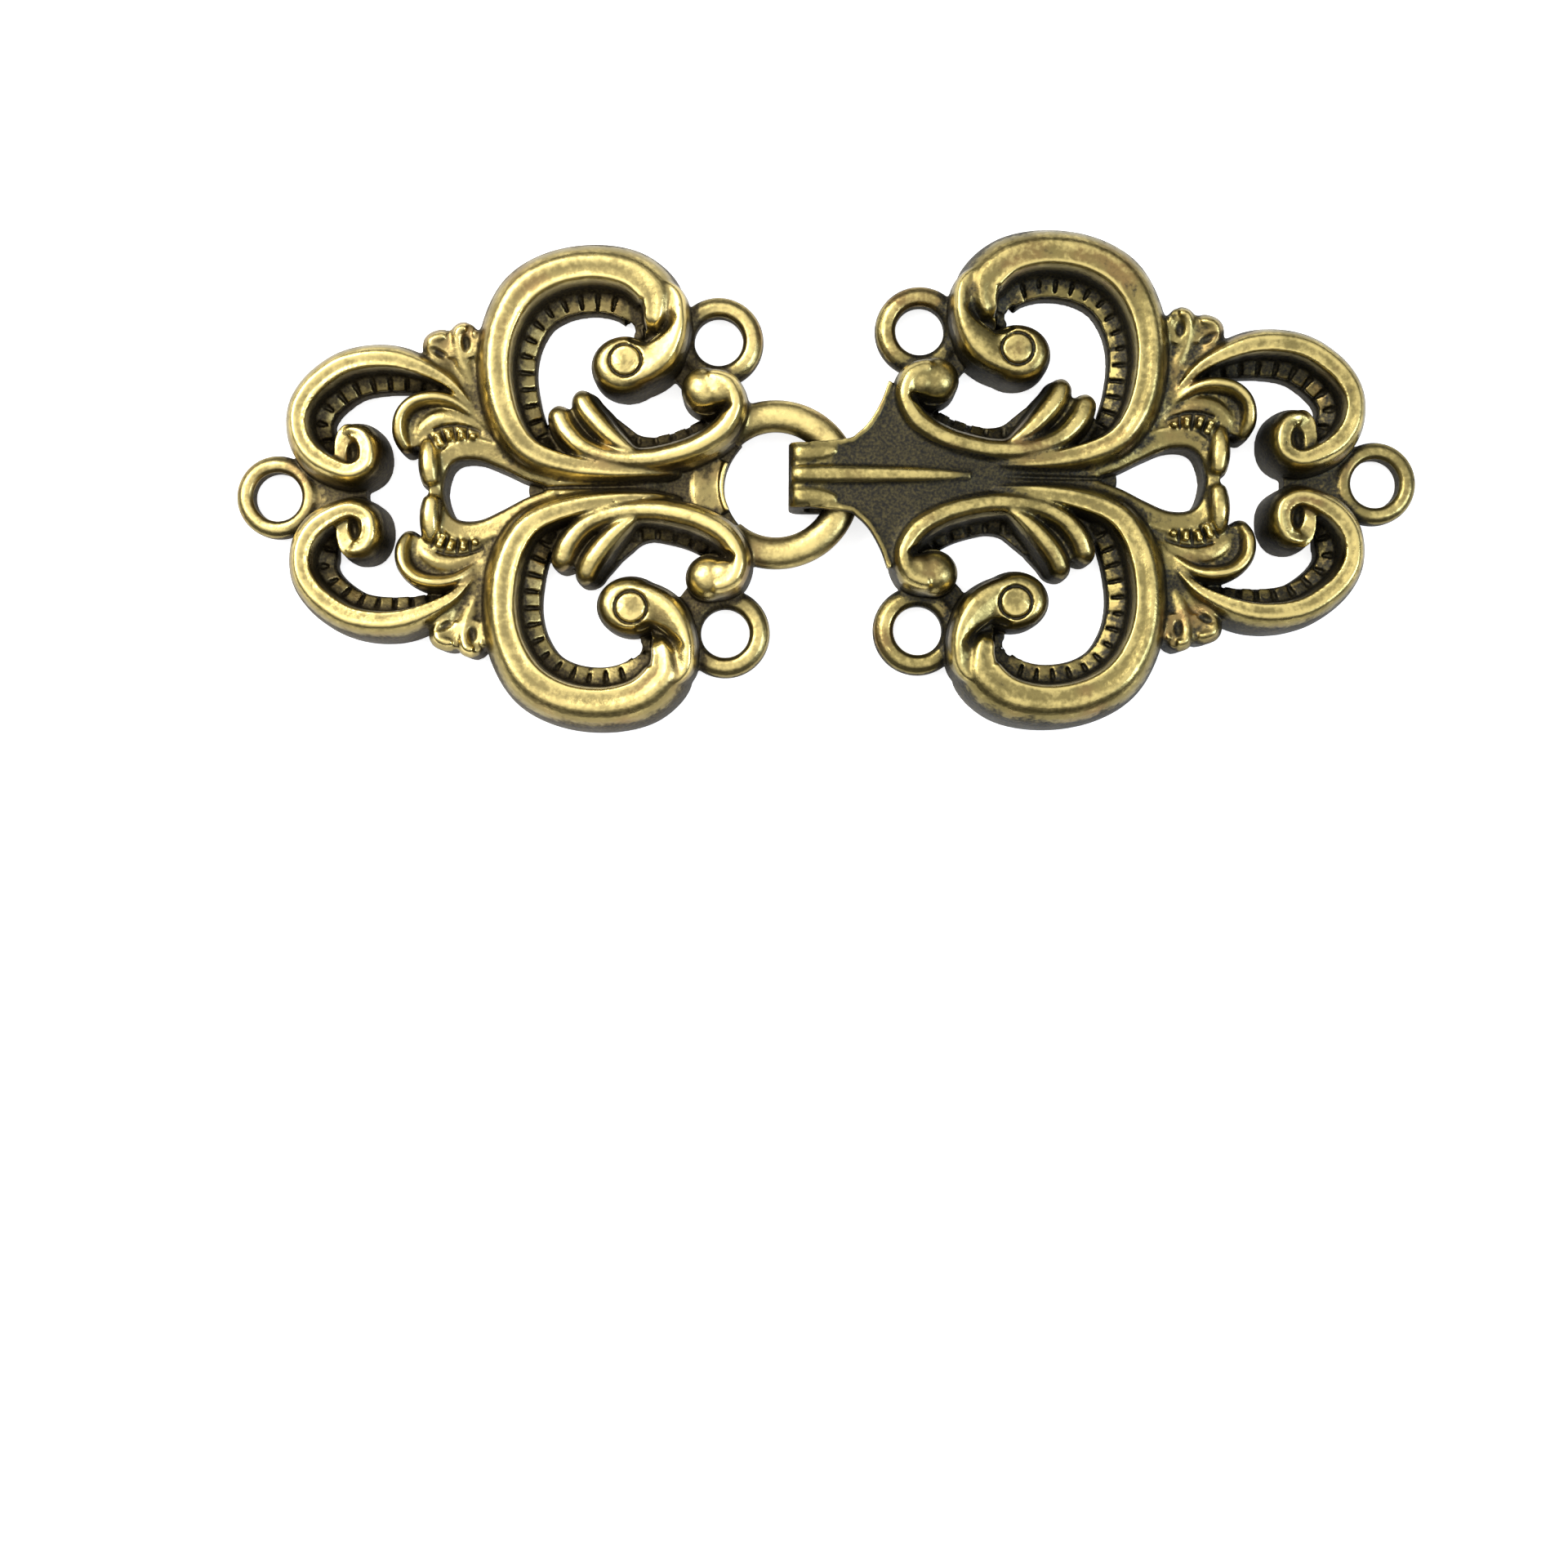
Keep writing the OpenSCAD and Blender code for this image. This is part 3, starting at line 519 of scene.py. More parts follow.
# One quarter of the scrollwork
def quarter(half, trees):
    shape = []
    inPlan = lambda p: (p[0] * half["reach"], p[1] * half["rise"])

    def band(piece, section):
        ends = [piece.get(key, 0.0) for key in ("roundStart", "roundEnd")]
        return sweep(shape, piece["rows"], half, section, *ends)

    dentilRow(shape, *band(bigScroll, scrollSection), trees["dentil"])
    band(bigVolute, voluteSection)
    dentilRow(shape, *band(sScroll, softSection), trees["dentil"])
    head = bigVolute["head"]
    turned(shape, inPlan(head["at"]), head["profile"], head["oval"])
    for ball in sScroll["balls"]:
        turned(shape, inPlan(ball["at"]), domed(ball["spring"], ball["top"]), ball["oval"], ball["turn"])
    band(leafFinger, softSection)
    ground(shape, leafFinger["ground"], half, leafFinger["top"])
    dentilRow(shape, *band(outerScroll, scrollSection), trees["dentil"])
    ground(shape, outerScroll["beak"], half, outerScroll["beakTop"])
    sweep(shape, crescent["rim"], half, softSection, roundStart=crescent["rimStart"])
    sweep(shape, crescent["blade"], half, blendSection, roundStart=crescent["bladeStart"])
    ground(shape, crescent["ground"], half, crescent["top"])
    sweep(shape, wing, half, wingSection)
    band(heartLobe, beadSection)
    for ridge in fan["ridges"]:
        sweep(shape, ridge, half, blendSection, roundEnd=fan["roundEnd"])
    ground(shape, fan["ground"], half, fan["top"])
    ground(shape, fan["heads"], half, fan["headTop"])
    for u0, v0, u1, v1 in ribs["at"]:
        across = [ribs["width"], ribs["height"]]
        rib = [[u0, v0] + across, [(u0 + u1) / 2, (v0 + v1) / 2] + across, [u1, v1] + across]
        sweep(shape, rib, half, beadSection, ribs["round"], ribs["round"])
    ground(shape, ribs["ground"], half, ribs["top"])
    for name in ("crease", "throat", "bay"):
        ground(shape, webs[name], half, webs[name + "Top"])
    for name in ("side", "leaf"):
        ground(shape, webs[name], half, cast["web"])
    dots = bpy.data.meshes.new("ribDots")
    dotTop = ribs["height"] * cast["height"] - ribs["sunk"]
    dots.from_pydata([(*inPlan(p), dotTop) for p in ribs["dots"]], [], [])
    shape.append(grown(linked("ribDots", dots), trees["bead"], {"Radius": ribs["dot"]}))
    return shape


# A rounded ring about a sewing hole
def sewingLoop(shape, at, rim):
    r, h = loop["hole"], loop["height"]
    edge = min(rim, h) * loop["edge"]
    profile = [(r, edge), (r + edge, 0), (r + rim - 1.4 * edge, 0), (r + rim - 0.3 * edge, 0.6 * edge),
               (r + rim, 1.8 * edge), (r + rim, h - 2 * edge), (r + rim - 0.4 * edge, h - 0.9 * edge),
               (r + rim - 1.5 * edge, h - 0.1 * edge), (r + rim / 2, h), (r + 0.9 * edge, h - 0.1 * edge),
               (r, h - edge), (r, edge)]
    turned(shape, at, [(a, b + loop["lift"]) for a, b in profile], count=loop["steps"])


# The small plate behind the eye's ring: arcs in radians, the rest in mm but the corners.
# Its edge draws back by the tuck under the wire, so that its ends are hidden.
plateBehind = {
    "arc": 0.92, "tuck": 0.16, "top": 1.45, "steps": 25,
    "flat": 2.35, "flatArc": 0.46, "flatTop": 2.05, "lip": 0.35, "lipTop": 2.3,
    "corners": [(0, 0.2), (0.06, 0.1), (0.1, 0.03)],
}


# The wire ring with its plate
def eyeParts(half):
    shape = []
    gap = math.radians(ring["gap"])
    ahead = half["ahead"]
    arc = np.linspace(gap, 2 * math.pi - gap, ring["steps"][0])
    around = np.linspace(0, 2 * math.pi, ring["steps"][1], endpoint=False)
    points = []
    for a in arc:
        out = ring["radius"] + ring["halfWidth"] * np.cos(around)
        points.append(np.stack([out * math.cos(a) - ahead, out * math.sin(a),
                                ring["z"] + ring["halfHeight"] * np.sin(around)], axis=1))
    shape.append((np.concatenate(points), tubeFaces(len(arc), len(around))))
    inner = ring["radius"] - ring["halfWidth"]
    p = plateBehind

    def bow(far, arc, tuck=0.0):
        steps = [(a, far + tuck * (a / arc) ** 4) for a in np.linspace(-arc, arc, p["steps"])]
        return [(r * math.cos(a) - ahead, r * math.sin(a)) for a, r in steps]

    corners = bothSides([(u * half["reach"], v * half["rise"]) for u, v in p["corners"]])
    plate(shape, bow(inner, p["arc"], p["tuck"]) + corners, 0, p["top"])
    for name in ("flat", "lip"):
        outer = bow(inner + p[name], p["flatArc"])
        plate(shape, bow(inner, p["flatArc"]) + outer[::-1], 0, p[name + "Top"])
    return shape


# The hook's tongue over the ring, its fold, and the lip that runs back under the ring.
# Lengths in mm from the tip; flare, inner and dark are outlines in shares.
tongue = {
    "reach": 9.87, "width": 4.85, "under": 3.6, "thick": 1.0, "lip": 1.1, "fold": 1.2,
    "lipLength": 4.3, "roundOut": 0.9, "roundIn": 0.6, "straight": 2.4, "bevel": 0.25, "edge": 0.12,
    "rim": 0.35, "rimHigh": 0.16, "rimDeep": 0.3, "overlap": 0.8,
    "flare": [(-0.560, 0.142), (-0.480, 0.164), (-0.385, 0.215), (-0.300, 0.295), (-0.250, 0.370)],
    "inner": [(-0.010, 0.300), (0.000, 0.150)],
    "dark": [(-0.205, 0.115), (-0.150, 0.160), (-0.100, 0.300), (-0.060, 0.380), (-0.020, 0.310),
             (0.060, 0.170), (0.150, 0.085), (0.250, 0.045), (0.380, 0.025)],
}
# Ribs on the tongue in mm: from the tip, across, half width, height above the plate
middleRib = [
    (0.2, 0, 0.66, 0.1), (0.9, 0, 0.70, 0.44), (2.4, 0, 0.74, 0.5), (6.9, 0, 0.68, 0.5),
    (9.4, 0, 0.62, 0.44), (11.0, 0, 0.58, 0.34), (12.4, 0, 0.50, 0.18), (13.6, 0, 0.42, 0.0),
]
sideRib = [(0.3, 1.60, 0.76, 0.0), (0.9, 1.60, 0.78, 0.30), (2.4, 1.66, 0.72, 0.34), (4.0, 2.00, 0.42, 0.20)]
sideRibEnd = 0.6
ribSection = [
    (-1, 0, 0.75, 0), (-1, 0, 0.90, 0), (-0.75, 0, 0.965, 0), (-0.4, 0, 0.995, 0), (0, 0, 1, 0),
    (0.4, 0, 0.995, 0), (0.75, 0, 0.965, 0), (1, 0, 0.90, 0), (1, 0, 0.75, 0),
]


# An outline above the middle line, closed by its mirror image
def bothSides(upper):
    return upper + [(x, -y) for x, y in reversed(upper)]


# The folded tongue with its flare, rims and ribs
def hookParts(half):
    shape = []
    t = tongue
    reach, rise = half["reach"], half["rise"]
    top = t["under"] + t["thick"]
    tip = -t["reach"]
    ro, ri, bevel = t["roundOut"], t["roundIn"], t["bevel"]
    quadrant = np.linspace(0, math.pi / 2, 8)
    start, end, slot = tip + t["straight"], tip + t["lipLength"], tip + t["fold"]
    side = [(tip + ro - ro * math.sin(a), ro - ro * math.cos(a)) for a in quadrant]
    side += [(tip + ro - ro * math.cos(a), top - ro + ro * math.sin(a)) for a in quadrant]
    side += [(start, top), (start, t["under"])]
    side += [(slot + ri - ri * math.sin(a), t["under"] - ri + ri * math.cos(a)) for a in quadrant]
    side += [(slot + ri - ri * math.cos(a), t["lip"] + ri - ri * math.sin(a)) for a in quadrant]
    side += [(end - bevel, t["lip"]), (end, t["lip"] - bevel), (end, bevel), (end - bevel, 0)]
    edge, wide = t["edge"], t["width"] / 2
    points = []
    for y, inset in ((-wide, edge), (edge - wide, 0), (wide - edge, 0), (wide, edge)):
        for x, z in side:
            points.append((x + (inset if x < tip + 0.5 else 0), y, z - (inset if z > top - 0.3 else 0)))
    shape.append((np.array(points, float), tubeFaces(4, len(side))))
    flare = [(start - t["overlap"], wide)] + [(u * t["reach"], v * rise) for u, v in t["flare"]]
    curve = splineRows(flare, 6)
    inner = [(u * reach, v * rise) for u, v in t["inner"]]
    plate(shape, bothSides([tuple(p) for p in curve] + inner), t["under"], top)
    left = directions(curve)[1]
    for sign in (1, -1):
        rim = [tuple(p) for p in curve] + [tuple(p) for p in reversed(curve - left * t["rim"])]
        plate(shape, [(x, y * sign) for x, y in rim], top - t["rimDeep"], top + t["rimHigh"])

    def share(x, y, wide, high):
        return [(tip + x) / reach, y / rise, wide / cast["halfBand"], (top + high) / cast["height"]]

    sweep(shape, [share(*row) for row in middleRib], half, ribSection)
    for sign in (1, -1):
        rows = [share(x, sign * y, wide, high) for x, y, wide, high in sideRib]
        sweep(shape, rows, half, ribSection, roundEnd=sideRibEnd)
    return shape


# One object from many closed shapes
def meshFrom(name, shape):
    points, faces, base = [], [], 0
    for p, f in shape:
        points.append(p)
        faces += [tuple(v + base for v in face) for face in f]
        base += len(p)
    mesh = bpy.data.meshes.new(name)
    mesh.from_pydata(np.concatenate(points).tolist(), [], faces)
    return linked(name, mesh)


# Run a modifier and keep the plain mesh that it gives
def applied(obj, kind, settings):
    modifier = obj.modifiers.new(kind, kind)
    for key, value in settings.items():
        setattr(modifier, key, value)
    graph = bpy.context.evaluated_depsgraph_get()
    mesh = bpy.data.meshes.new_from_object(obj.evaluated_get(graph))
    obj.modifiers.remove(modifier)
    old = obj.data
    obj.data = mesh
    bpy.data.meshes.remove(old)


def coordinates(mesh, layer="co"):
    values = np.empty(len(mesh.vertices) * 3)
    mesh.vertices.foreach_get(layer, values)
    return values.reshape(-1, 3)


# Distance of points to a path in plan, and how far along it they are nearest
def nearPath(points, path):
    best = np.full(len(points), 1e9)
    along = np.zeros(len(points))
    total = np.linalg.norm(np.diff(path, axis=0), axis=1).sum()
    done = 0.0
    for a, b in zip(path[:-1], path[1:]):
        way = b - a
        length = np.linalg.norm(way)
        t = np.clip(((points - a) @ way) / length ** 2, 0, 1)
        distance = np.linalg.norm(points - (a + t[:, None] * way), axis=1)
        nearer = distance < best
        best[nearer] = distance[nearer]
        along[nearer] = (done + t[nearer] * length) / total
        done += length
    return best, along


# Press the pits and grooves into what faces up
def pressed(half, points, normals):
    local = fromFrame(half, points)
    plan = np.stack([local[:, 0], np.abs(local[:, 1])], axis=1)
    up = np.clip(normals[:, 2] * 1.6, 0, 1)
    scale = np.array([half["reach"], half["rise"]])
    down = np.zeros(len(points))
    for u, v, rx, ry, turn, depth in pits:
        c, s = math.cos(math.radians(turn)), math.sin(math.radians(turn))
        away = plan - np.array([u, v]) * scale
        q = ((away[:, 0] * c + away[:, 1] * s) / rx) ** 2 + ((away[:, 1] * c - away[:, 0] * s) / ry) ** 2
        down += depth * np.clip(1 - q, 0, 1) ** 1.5
    for groove in grooves:
        path = splineRows(np.array(groove["path"]) * scale, 5)
        distance, along = nearPath(plan, path)
        taper = np.clip(along * 3, 0, 1)
        down += groove["depth"] * taper * np.clip(1 - (distance / groove["width"]) ** 2, 0, 1) ** 1.5
    away = np.linalg.norm(plan - np.array(button["at"]) * scale, axis=1) - button["radius"]
    down += button["depth"] * np.clip(1 - (away / button["moat"]) ** 2, 0, 1)
    down -= button["rise"] * (away < 0)
    out = points.copy()
    out[:, 2] -= down * up
    return out


def edgeList(mesh):
    edges = np.empty(len(mesh.edges) * 2, int)
    mesh.edges.foreach_get("vertices", edges)
    return edges.reshape(-1, 2)


# Fill the hollow corners between raised forms, as cast metal does; ridges stay
def melted(mesh, edges, rounds):
    a, b = edges[:, 0], edges[:, 1]
    co = coordinates(mesh)
    count = len(co)
    degree = np.maximum(np.bincount(edges.ravel(), minlength=count), 1)
    weight = np.clip((co[:, 2] - cast["meltFrom"]) / cast["meltFade"], 0, 1)
    for i in range(rounds):
        if i % 5 == 0:
            mesh.vertices.foreach_set("co", co.ravel())
            mesh.update()
            normals = coordinates(mesh, "normal")
        push = np.zeros(count)
        for c in range(3):
            column = co[:, c]
            near = np.bincount(a, column[b], count) + np.bincount(b, column[a], count)
            push += (near / degree - column) * normals[:, c]
        co += (cast["meltStep"] * weight * np.maximum(push, 0))[:, None] * normals
    return co


# Values evened out over neighbouring points
def diffused(edges, values, rounds):
    count = len(values)
    a, b = edges[:, 0], edges[:, 1]
    degree = np.maximum(np.bincount(edges.ravel(), minlength=count), 1)
    values = values.copy()
    for i in range(rounds):
        for c in range(values.shape[1]):
            column = values[:, c]
            near = np.bincount(a, column[b], count) + np.bincount(b, column[a], count)
            values[:, c] = 0.4 * column + 0.6 * near / degree
    return values


# Rounds of evening out for fine and middling creases; the cells of the height map, its
# margin and blur in mm, and how deep the underside counts as lying, so that it takes painted shade
look = {
    "fine": 6, "mid": 36, "cell": 0.16, "blur": 0.85, "margin": 4, "window": 16, "metal": 0.3,
    "underside": 1.2,
}


# How far each point lies under its surroundings: creases on the skin at two reaches (patina and wear),
# and hollows below the height of the metal round about (patina and painted shade, also on undersides)
def wearAndShade(mesh):
    co = coordinates(mesh)
    normals = coordinates(mesh, "normal")
    edges = edgeList(mesh)
    near = diffused(edges, co, look["fine"])
    far = diffused(edges, near, look["mid"] - look["fine"])
    fine = ((near - co) * normals).sum(axis=1)
    mid = ((far - co) * normals).sum(axis=1)
    low = co.min(axis=0) - look["margin"]
    size = np.ceil((co.max(axis=0) + look["margin"] - low) / look["cell"]).astype(int)[:2]
    at = ((co[:, :2] - low[:2]) / look["cell"]).astype(int)
    tall = np.zeros(size)
    np.maximum.at(tall, (at[:, 0], at[:, 1]), co[:, 2])
    weight = (tall > look["metal"]).astype(float)
    reach = np.arange(-look["window"], look["window"] + 1) * look["cell"]
    kernel = np.exp(-0.5 * (reach / look["blur"]) ** 2)
    blur = lambda grid: np.apply_along_axis(lambda row: np.convolve(row, kernel, "same"), 1, grid)
    both = lambda grid: blur(blur(grid).T).T
    around = both(tall * weight) / np.maximum(both(weight), 1e-6)
    hollowPatinaAndShade = around[at[:, 0], at[:, 1]] - co[:, 2]
    # What faces down is given a fixed depth of painted shade
    hollowPatinaAndShade[normals[:, 2] < -0.5] = look["underside"]
    return co, np.stack([fine, mid, hollowPatinaAndShade], axis=1)


# The eye's ring is rubbed bright out to a radius, and the low wedge behind it is painted dark as shade as
# far out, across and up as given. The hook's plate is dark from a distance behind the tip on, inside the
# outline and no higher than just above the plate.
ringTone = {"rubbed": 6.6, "fade": 0.5, "shadedWedge": 0.7, "far": 10, "farFade": 2, "across": 2.8, "high": 3.6}
plateTone = {"from": 2.4, "fromFade": 2.0, "edgeFade": 0.4, "above": 0.26, "aboveFade": 0.2}


def upTo(limit, values, fade):
    return np.clip((limit - values) / fade, 0, 1)


def tarnishAndShadeAt(half, points):
    local = fromFrame(half, points)
    x, y, z = local[:, 0], np.abs(local[:, 1]), local[:, 2]
    if half["side"] < 0:
        tone = ringTone
        away = np.hypot(x + half["ahead"], y)
        rubbed = upTo(tone["rubbed"], away, tone["fade"])
        # Painted shade: the low wedge behind the ring is darkened
        shadedWedge = tone["shadedWedge"] * upTo(-tone["rubbed"], -away, tone["fade"])
        shadedWedge *= upTo(tone["far"], away, tone["farFade"]) * upTo(tone["across"], y, tone["fade"])
        return (shadedWedge - rubbed) * upTo(tone["high"], z, tone["fade"])
    tone = plateTone
    edge = np.array(tongue["dark"]) * (half["reach"], half["rise"])
    within = np.interp(x, edge[:, 0], edge[:, 1], left=-1, right=-1)
    start = tone["from"] - tongue["reach"]
    within[(x > start) & (x <= edge[0, 0])] = edge[0, 1]
    top = tongue["under"] + tongue["thick"]
    inside = upTo(within, y, tone["edgeFade"]) * upTo(-start, -x, tone["fromFade"])
    return inside * upTo(top + tone["above"], z, tone["aboveFade"])


# A whole casting: every part joined into one skin, softened as metal from a mould is
def casting(name, half, own, trees):
    shape = []
    for points, faces in quarter(half, trees):
        shape.append((points, faces))
        shape.append((points * (1, -1, 1), faces))
    reach, rise = half["reach"], half["rise"]
    plate(shape, bothSides([(u * reach, v * rise) for u, v in webs["middle"]]), 0, webs["middleTop"])
    sweep(shape, half["keel"], half, keelSection, roundEnd=cast["keelEnd"])
    (u, v), far = webs["endFoot"], reach - loop["hole"] - loop["endRim"] / 2
    plate(shape, bothSides([(u * reach, v * rise), (far, webs["endHead"] * rise)]), 0, cast["web"])
    for side in (1, -1):
        sewingLoop(shape, (0, side * loop["at"] * rise), loop["sideRim"])
    sewingLoop(shape, (reach, 0), loop["endRim"])
    shape += own(half)
    obj = meshFrom(name, [(toFrame(half, p), f) for p, f in shape])
    applied(obj, "REMESH", {"mode": "VOXEL", "voxel_size": cast["voxel"], "adaptivity": 0.0})
    applied(obj, "SMOOTH", {"factor": cast["softness"], "iterations": cast["soften"]})
    soft = melted(obj.data, edgeList(obj.data), cast["melt"])
    obj.data.vertices.foreach_set("co", soft.ravel())
    obj.data.update()
    fresh = pressed(half, soft, coordinates(obj.data, "normal"))
    obj.data.vertices.foreach_set("co", fresh.ravel())
    obj.data.update()
    fineCo, wornAndShaded = wearAndShade(obj.data)
    triangles = sum(len(p.vertices) - 2 for p in obj.data.polygons)
    applied(obj, "DECIMATE", {"ratio": min(1.0, cast["triangles"] / triangles)})
    mesh = obj.data
    co = coordinates(mesh)
    tree = kdtree.KDTree(len(fineCo))
    for i, p in enumerate(fineCo):
        tree.insert(p, i)
    tree.balance()
    nearest = np.array([tree.find(p)[1] for p in co])
    # Creases carry patina and wear; the hollow value carries patina and painted shade
    for k, label in enumerate(("creaseFine", "creaseMid", "hollowPatinaAndShade")):
        layer = mesh.attributes.new(label, "FLOAT", "POINT")
        layer.data.foreach_set("value", wornAndShaded[nearest, k])
    # Stored per point: rubbed wear on the eye's ring, painted shade in the wedge behind it, and the hook
    # plate's dark
    mesh.attributes.new("tarnishAndShade", "FLOAT", "POINT").data.foreach_set("value", tarnishAndShadeAt(half, co))
    co[:, 2] = np.clip(co[:, 2], 0, cast["height"])
    mesh.vertices.foreach_set("co", (co * 0.001).ravel())
    mesh.update()
    mesh.polygons.foreach_set("use_smooth", [True] * len(mesh.polygons))
    print(name, "triangles", triangles, "kept", len(mesh.polygons))
    return obj


def newMaterial(name):
    material = bpy.data.materials.new(name)
    material.use_nodes = True
    nodes = material.node_tree.nodes
    return material, nodes, material.node_tree.links.new, nodes["Principled BSDF"]


# Plating rubbed bright on the high places and dark with patina in the creases, with painted shade in the
# hollows, on the undersides and on steep sides. Weights of what adds to the level of tarnish and painted
# shade, from the rubbed side to the black; noise scales in 1/m.
patinaAndShade = {
    "fine": 12.0, "mid": 4.5, "deep": 0.92, "deepRange": (-0.8, 1.6), "shelter": 0.62, "steep": 0.62,
    "tarnishAndShade": 1.2, "cloud": 2.2, "grain": 1.5, "evenWhereTarnishAndShade": 0.75, "evenWhereSteep": 0.55,
    "dark": (0.15, 0.95), "wornAndShaded": (-1.1, 0.05), "blush": 0.6, "speck": 0.30,
    "rough": 0.3, "roughDark": 0.24, "roughCloud": 0.25, "bump": 0.8, "bumpDepth": 0.00005,
}


# Aged plating together with painted shade in hollows, on undersides and on steep sides
def makeAgedAndShadedGroup():
    group = bpy.data.node_groups.new("agedPlatingAndShade", "ShaderNodeTree")
    face = group.interface
    for label in ("Bright", "Body", "Warm", "Dark"):
        face.new_socket(label, in_out="INPUT", socket_type="NodeSocketColor")
    for label in ("Shift", "Mottle"):
        face.new_socket(label, in_out="INPUT", socket_type="NodeSocketFloat")
    face.new_socket("Color", in_out="OUTPUT", socket_type="NodeSocketColor")
    face.new_socket("Roughness", in_out="OUTPUT", socket_type="NodeSocketFloat")
    face.new_socket("Normal", in_out="OUTPUT", socket_type="NodeSocketVector")
    nodes, link = group.nodes, group.links.new
    given, out = nodes.new("NodeGroupInput"), nodes.new("NodeGroupOutput")
    where = nodes.new("ShaderNodeTexCoord")

    def value(operation, a, b):
        node = nodes.new("ShaderNodeMath")
        node.operation = operation
        for socket, term in zip(node.inputs, (a, b)):
            if isinstance(term, (int, float)):
                socket.default_value = term
            else:
                link(term, socket)
        return node.outputs[0]

    def times(a, b):
        return value("MULTIPLY", a, b)

    def total(*terms):
        out = terms[0]
        for term in terms[1:]:
            out = value("ADD", out, term)
        return out

    def attribute(label):
        node = nodes.new("ShaderNodeAttribute")
        node.attribute_name = label
        return node.outputs["Fac"]

    def noise(scale, detail):
        node = nodes.new("ShaderNodeTexNoise")
        node.inputs["Scale"].default_value = scale
        node.inputs["Detail"].default_value = detail
        link(where.outputs["Object"], node.inputs["Vector"])
        return node.outputs["Fac"]

    def between(term, low, high):
        node = nodes.new("ShaderNodeMapRange")
        node.interpolation_type = "SMOOTHSTEP"
        link(term, node.inputs["Value"])
        node.inputs["From Min"].default_value = low
        node.inputs["From Max"].default_value = high
        return node.outputs["Result"]

    def mix(factor, a, b):
        node = nodes.new("ShaderNodeMix")
        node.data_type = "RGBA"
        link(factor, node.inputs["Factor"])
        link(a, node.inputs[6])
        link(b, node.inputs[7])
        return node.outputs[2]

    upright = nodes.new("ShaderNodeSeparateXYZ")
    link(where.outputs["Normal"], upright.inputs["Vector"])
    p = patinaAndShade
    least, most = p["deepRange"]
    # Steep sides are painted darker: partly patina, partly painted shade
    steep = value("MINIMUM", value("SUBTRACT", 1.0, upright.outputs["Z"]), 1.0)
    cloud = value("SUBTRACT", noise(420, 5), 0.5)
    grain = value("SUBTRACT", noise(2600, 3), 0.5)
    tarnishAndShade = attribute("tarnishAndShade")
    even = value("SUBTRACT", 1.0, times(value("MAXIMUM", tarnishAndShade, 0.0), p["evenWhereTarnishAndShade"]))
    flat = value("SUBTRACT", 1.0, times(steep, p["evenWhereSteep"]))
    patches = total(times(cloud, p["cloud"]), times(grain, p["grain"]))
    mottle = times(times(patches, given.outputs["Mottle"]), times(even, flat))
    # Hollows and undersides are painted dark: patina and painted shade
    deep = value("MAXIMUM", value("MINIMUM", attribute("hollowPatinaAndShade"), most), least)
    creases = total(times(attribute("creaseFine"), p["fine"]), times(attribute("creaseMid"), p["mid"]))
    shelter = value("SUBTRACT", 1.0, times(value("MAXIMUM", deep, 0.0), p["shelter"]))
    # The level sums patina and wear with painted shade from hollows, steep sides and the wedge behind the
    # ring
    level = total(times(creases, shelter), times(deep, p["deep"]), times(steep, p["steep"]), mottle,
                  given.outputs["Shift"], times(value("MAXIMUM", tarnishAndShade, -0.4), p["tarnishAndShade"]))
    dark = between(level, *p["dark"])
    blush = times(between(noise(230, 3), 0.5, 0.75), p["blush"])
    body = mix(blush, given.outputs["Body"], given.outputs["Warm"])
    wornAndShaded = mix(between(level, *p["wornAndShaded"]), given.outputs["Bright"], body)
    speck = times(between(noise(4600, 3), 0.30, 0.80), p["speck"])
    color = mix(dark, wornAndShaded, mix(speck, given.outputs["Dark"], given.outputs["Body"]))
    rough = total(p["rough"], times(dark, p["roughDark"]), times(cloud, p["roughCloud"]))
    bump = nodes.new("ShaderNodeBump")
    bump.inputs["Strength"].default_value = p["bump"]
    bump.inputs["Distance"].default_value = p["bumpDepth"]
    link(total(noise(900, 4), times(noise(4200, 2), 0.35)), bump.inputs["Height"])
    link(color, out.inputs["Color"])
    link(rough, out.inputs["Roughness"])
    link(bump.outputs["Normal"], out.inputs["Normal"])
    return group


agedAndShaded = makeAgedAndShadedGroup()
# The group's inputs for each casting. A larger shift is darker all over.
finishes = {
    "eye": {
        "Bright": (0.80, 0.64, 0.25, 1), "Body": (0.305, 0.243, 0.096, 1), "Warm": (0.30, 0.18, 0.075, 1),
        "Dark": (0.044, 0.035, 0.024, 1), "Shift": -0.04, "Mottle": 0.85,
    },
    "hook": {
        "Bright": (0.62, 0.50, 0.19, 1), "Body": (0.235, 0.19, 0.070, 1), "Warm": (0.24, 0.13, 0.055, 1),
        "Dark": (0.026, 0.025, 0.023, 1), "Shift": 0.08, "Mottle": 1.2,
    },
}


# Brass whose colour holds patina, wear and painted shade
def agedShadedBrass(name, finish):
    material, nodes, link, shader = newMaterial(name)
    group = nodes.new("ShaderNodeGroup")
    group.node_tree = agedAndShaded
    for label, given in finish.items():
        group.inputs[label].default_value = given
    shader.inputs["Metallic"].default_value = 1.0
    link(group.outputs["Color"], shader.inputs["Base Color"])
    link(group.outputs["Roughness"], shader.inputs["Roughness"])
    link(group.outputs["Normal"], shader.inputs["Normal"])
    return material


eyeBrass = agedShadedBrass("eyeBrass", finishes["eye"])
hookBrass = agedShadedBrass("hookBrass", finishes["hook"])
trees = {"dentil": makeDentilTree(eyeBrass), "bead": makeBeadTree(eyeBrass)}

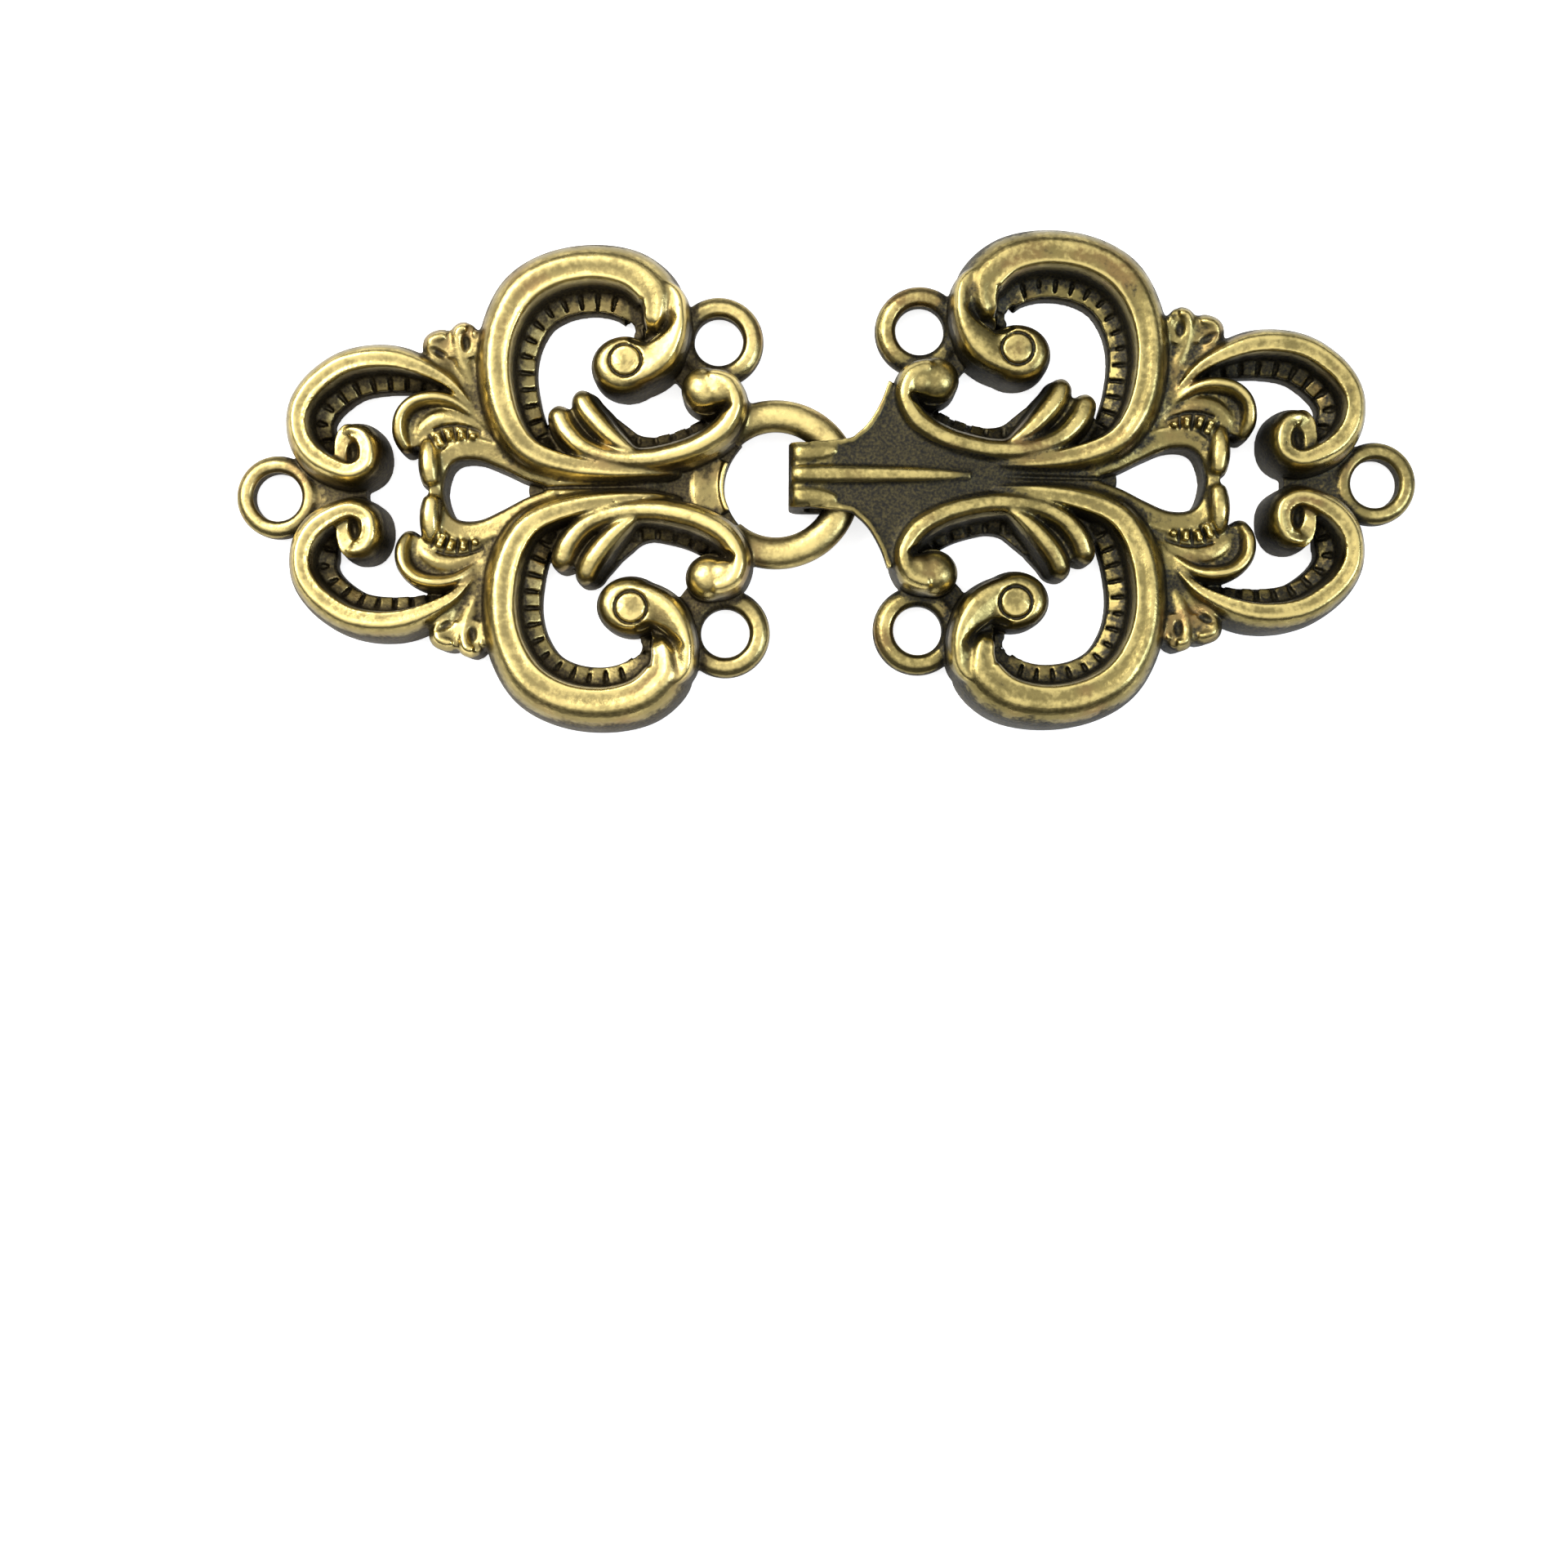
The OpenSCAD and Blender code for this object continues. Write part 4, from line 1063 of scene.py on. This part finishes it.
for name, half, node, slot, own, material in (
    ("eyeCasting", "eye", "eye_half", "eye_brass", eyeParts, eyeBrass),
    ("hookCasting", "hook", "hook_half", "hook_brass", hookParts, hookBrass),
):
    piece = casting(name, halves[half], own, trees)
    piece.data.materials.clear()
    piece.data.materials.append(material)
    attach(piece, "root")
    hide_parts(node)
    print(name, "cast")

# Floor, lights and camera, in metres. The floor glows more to the camera than to the
# metal, so that it stays white and the sides of the castings stay dark.
stage = {"half": 1.6, "below": 0.00004, "color": (0.92, 0.92, 0.92, 1), "glow": 0.70, "cast": 0.05}
sky = {"toward": (-0.06, 0.15, 0.987), "from": (0.34, 1.0), "strength": (0.08, 1.32)}
half, low = stage["half"], -stage["below"]
corners = [(-half, -half, low), (half, -half, low), (half, half, low), (-half, half, low)]
mesh = bpy.data.meshes.new("floor")
mesh.from_pydata(corners, [], [(0, 1, 2, 3)])
floor = linked("floor", mesh)
material, nodes, link, shader = newMaterial("floorPale")
shader.inputs["Base Color"].default_value = stage["color"]
shader.inputs["Roughness"].default_value = 0.7
shader.inputs["Emission Color"].default_value = (1, 1, 1, 1)
seen, glow = nodes.new("ShaderNodeLightPath"), nodes.new("ShaderNodeMath")
glow.operation = "MULTIPLY_ADD"
glow.inputs[1].default_value, glow.inputs[2].default_value = stage["glow"] - stage["cast"], stage["cast"]
link(seen.outputs["Is Camera Ray"], glow.inputs[0])
link(glow.outputs["Value"], shader.inputs["Emission Strength"])
mesh.materials.append(material)

# Soft surroundings, brighter on the key lamp's side
world = bpy.data.worlds.new("studioSky")
world.use_nodes = True
nodes, link = world.node_tree.nodes, world.node_tree.links.new
where, facing = nodes.new("ShaderNodeTexCoord"), nodes.new("ShaderNodeVectorMath")
ramp = nodes.new("ShaderNodeMapRange")
facing.operation = "DOT_PRODUCT"
facing.inputs[1].default_value = sky["toward"]
ramp.interpolation_type = "SMOOTHSTEP"
for side, key in (("From", "from"), ("To", "strength")):
    ramp.inputs[side + " Min"].default_value, ramp.inputs[side + " Max"].default_value = sky[key]
link(where.outputs["Generated"], facing.inputs[0])
link(facing.outputs["Value"], ramp.inputs["Value"])
link(ramp.outputs["Result"], nodes["Background"].inputs["Strength"])
nodes["Background"].inputs["Color"].default_value = (1, 1, 1, 1)
bpy.context.scene.world = world

lamps = [
    {"name": "keyLamp", "at": (-0.35, 0.22, 0.42), "size": 0.45, "power": 3.2, "color": (1.0, 0.97, 0.90)},
    {"name": "fillLamp", "at": (0.38, -0.10, 0.30), "size": 0.20, "power": 0.9, "color": (0.72, 0.84, 1.0)},
]
for lamp in lamps:
    data = bpy.data.lights.new(lamp["name"], "AREA")
    data.size = lamp["size"]
    data.energy = lamp["power"]
    data.color = lamp["color"]
    light = linked(lamp["name"], data)
    light.location = lamp["at"]
    x, y, z = lamp["at"]
    light.rotation_euler = (math.atan2(math.hypot(x, y), z), 0, math.atan2(-y, -x) - math.pi / 2)
bpy.context.scene.view_settings.view_transform = "Standard"

view = {"at": (-0.003197, -0.02287, 0.1587), "angle": 41.5}
lens = bpy.data.cameras.new("photoCamera")
lens.angle = math.radians(view["angle"])
lens.clip_start = 0.005
camera = linked("photoCamera", lens)
camera.location = view["at"]
bpy.context.scene.camera = camera
print("stage set")

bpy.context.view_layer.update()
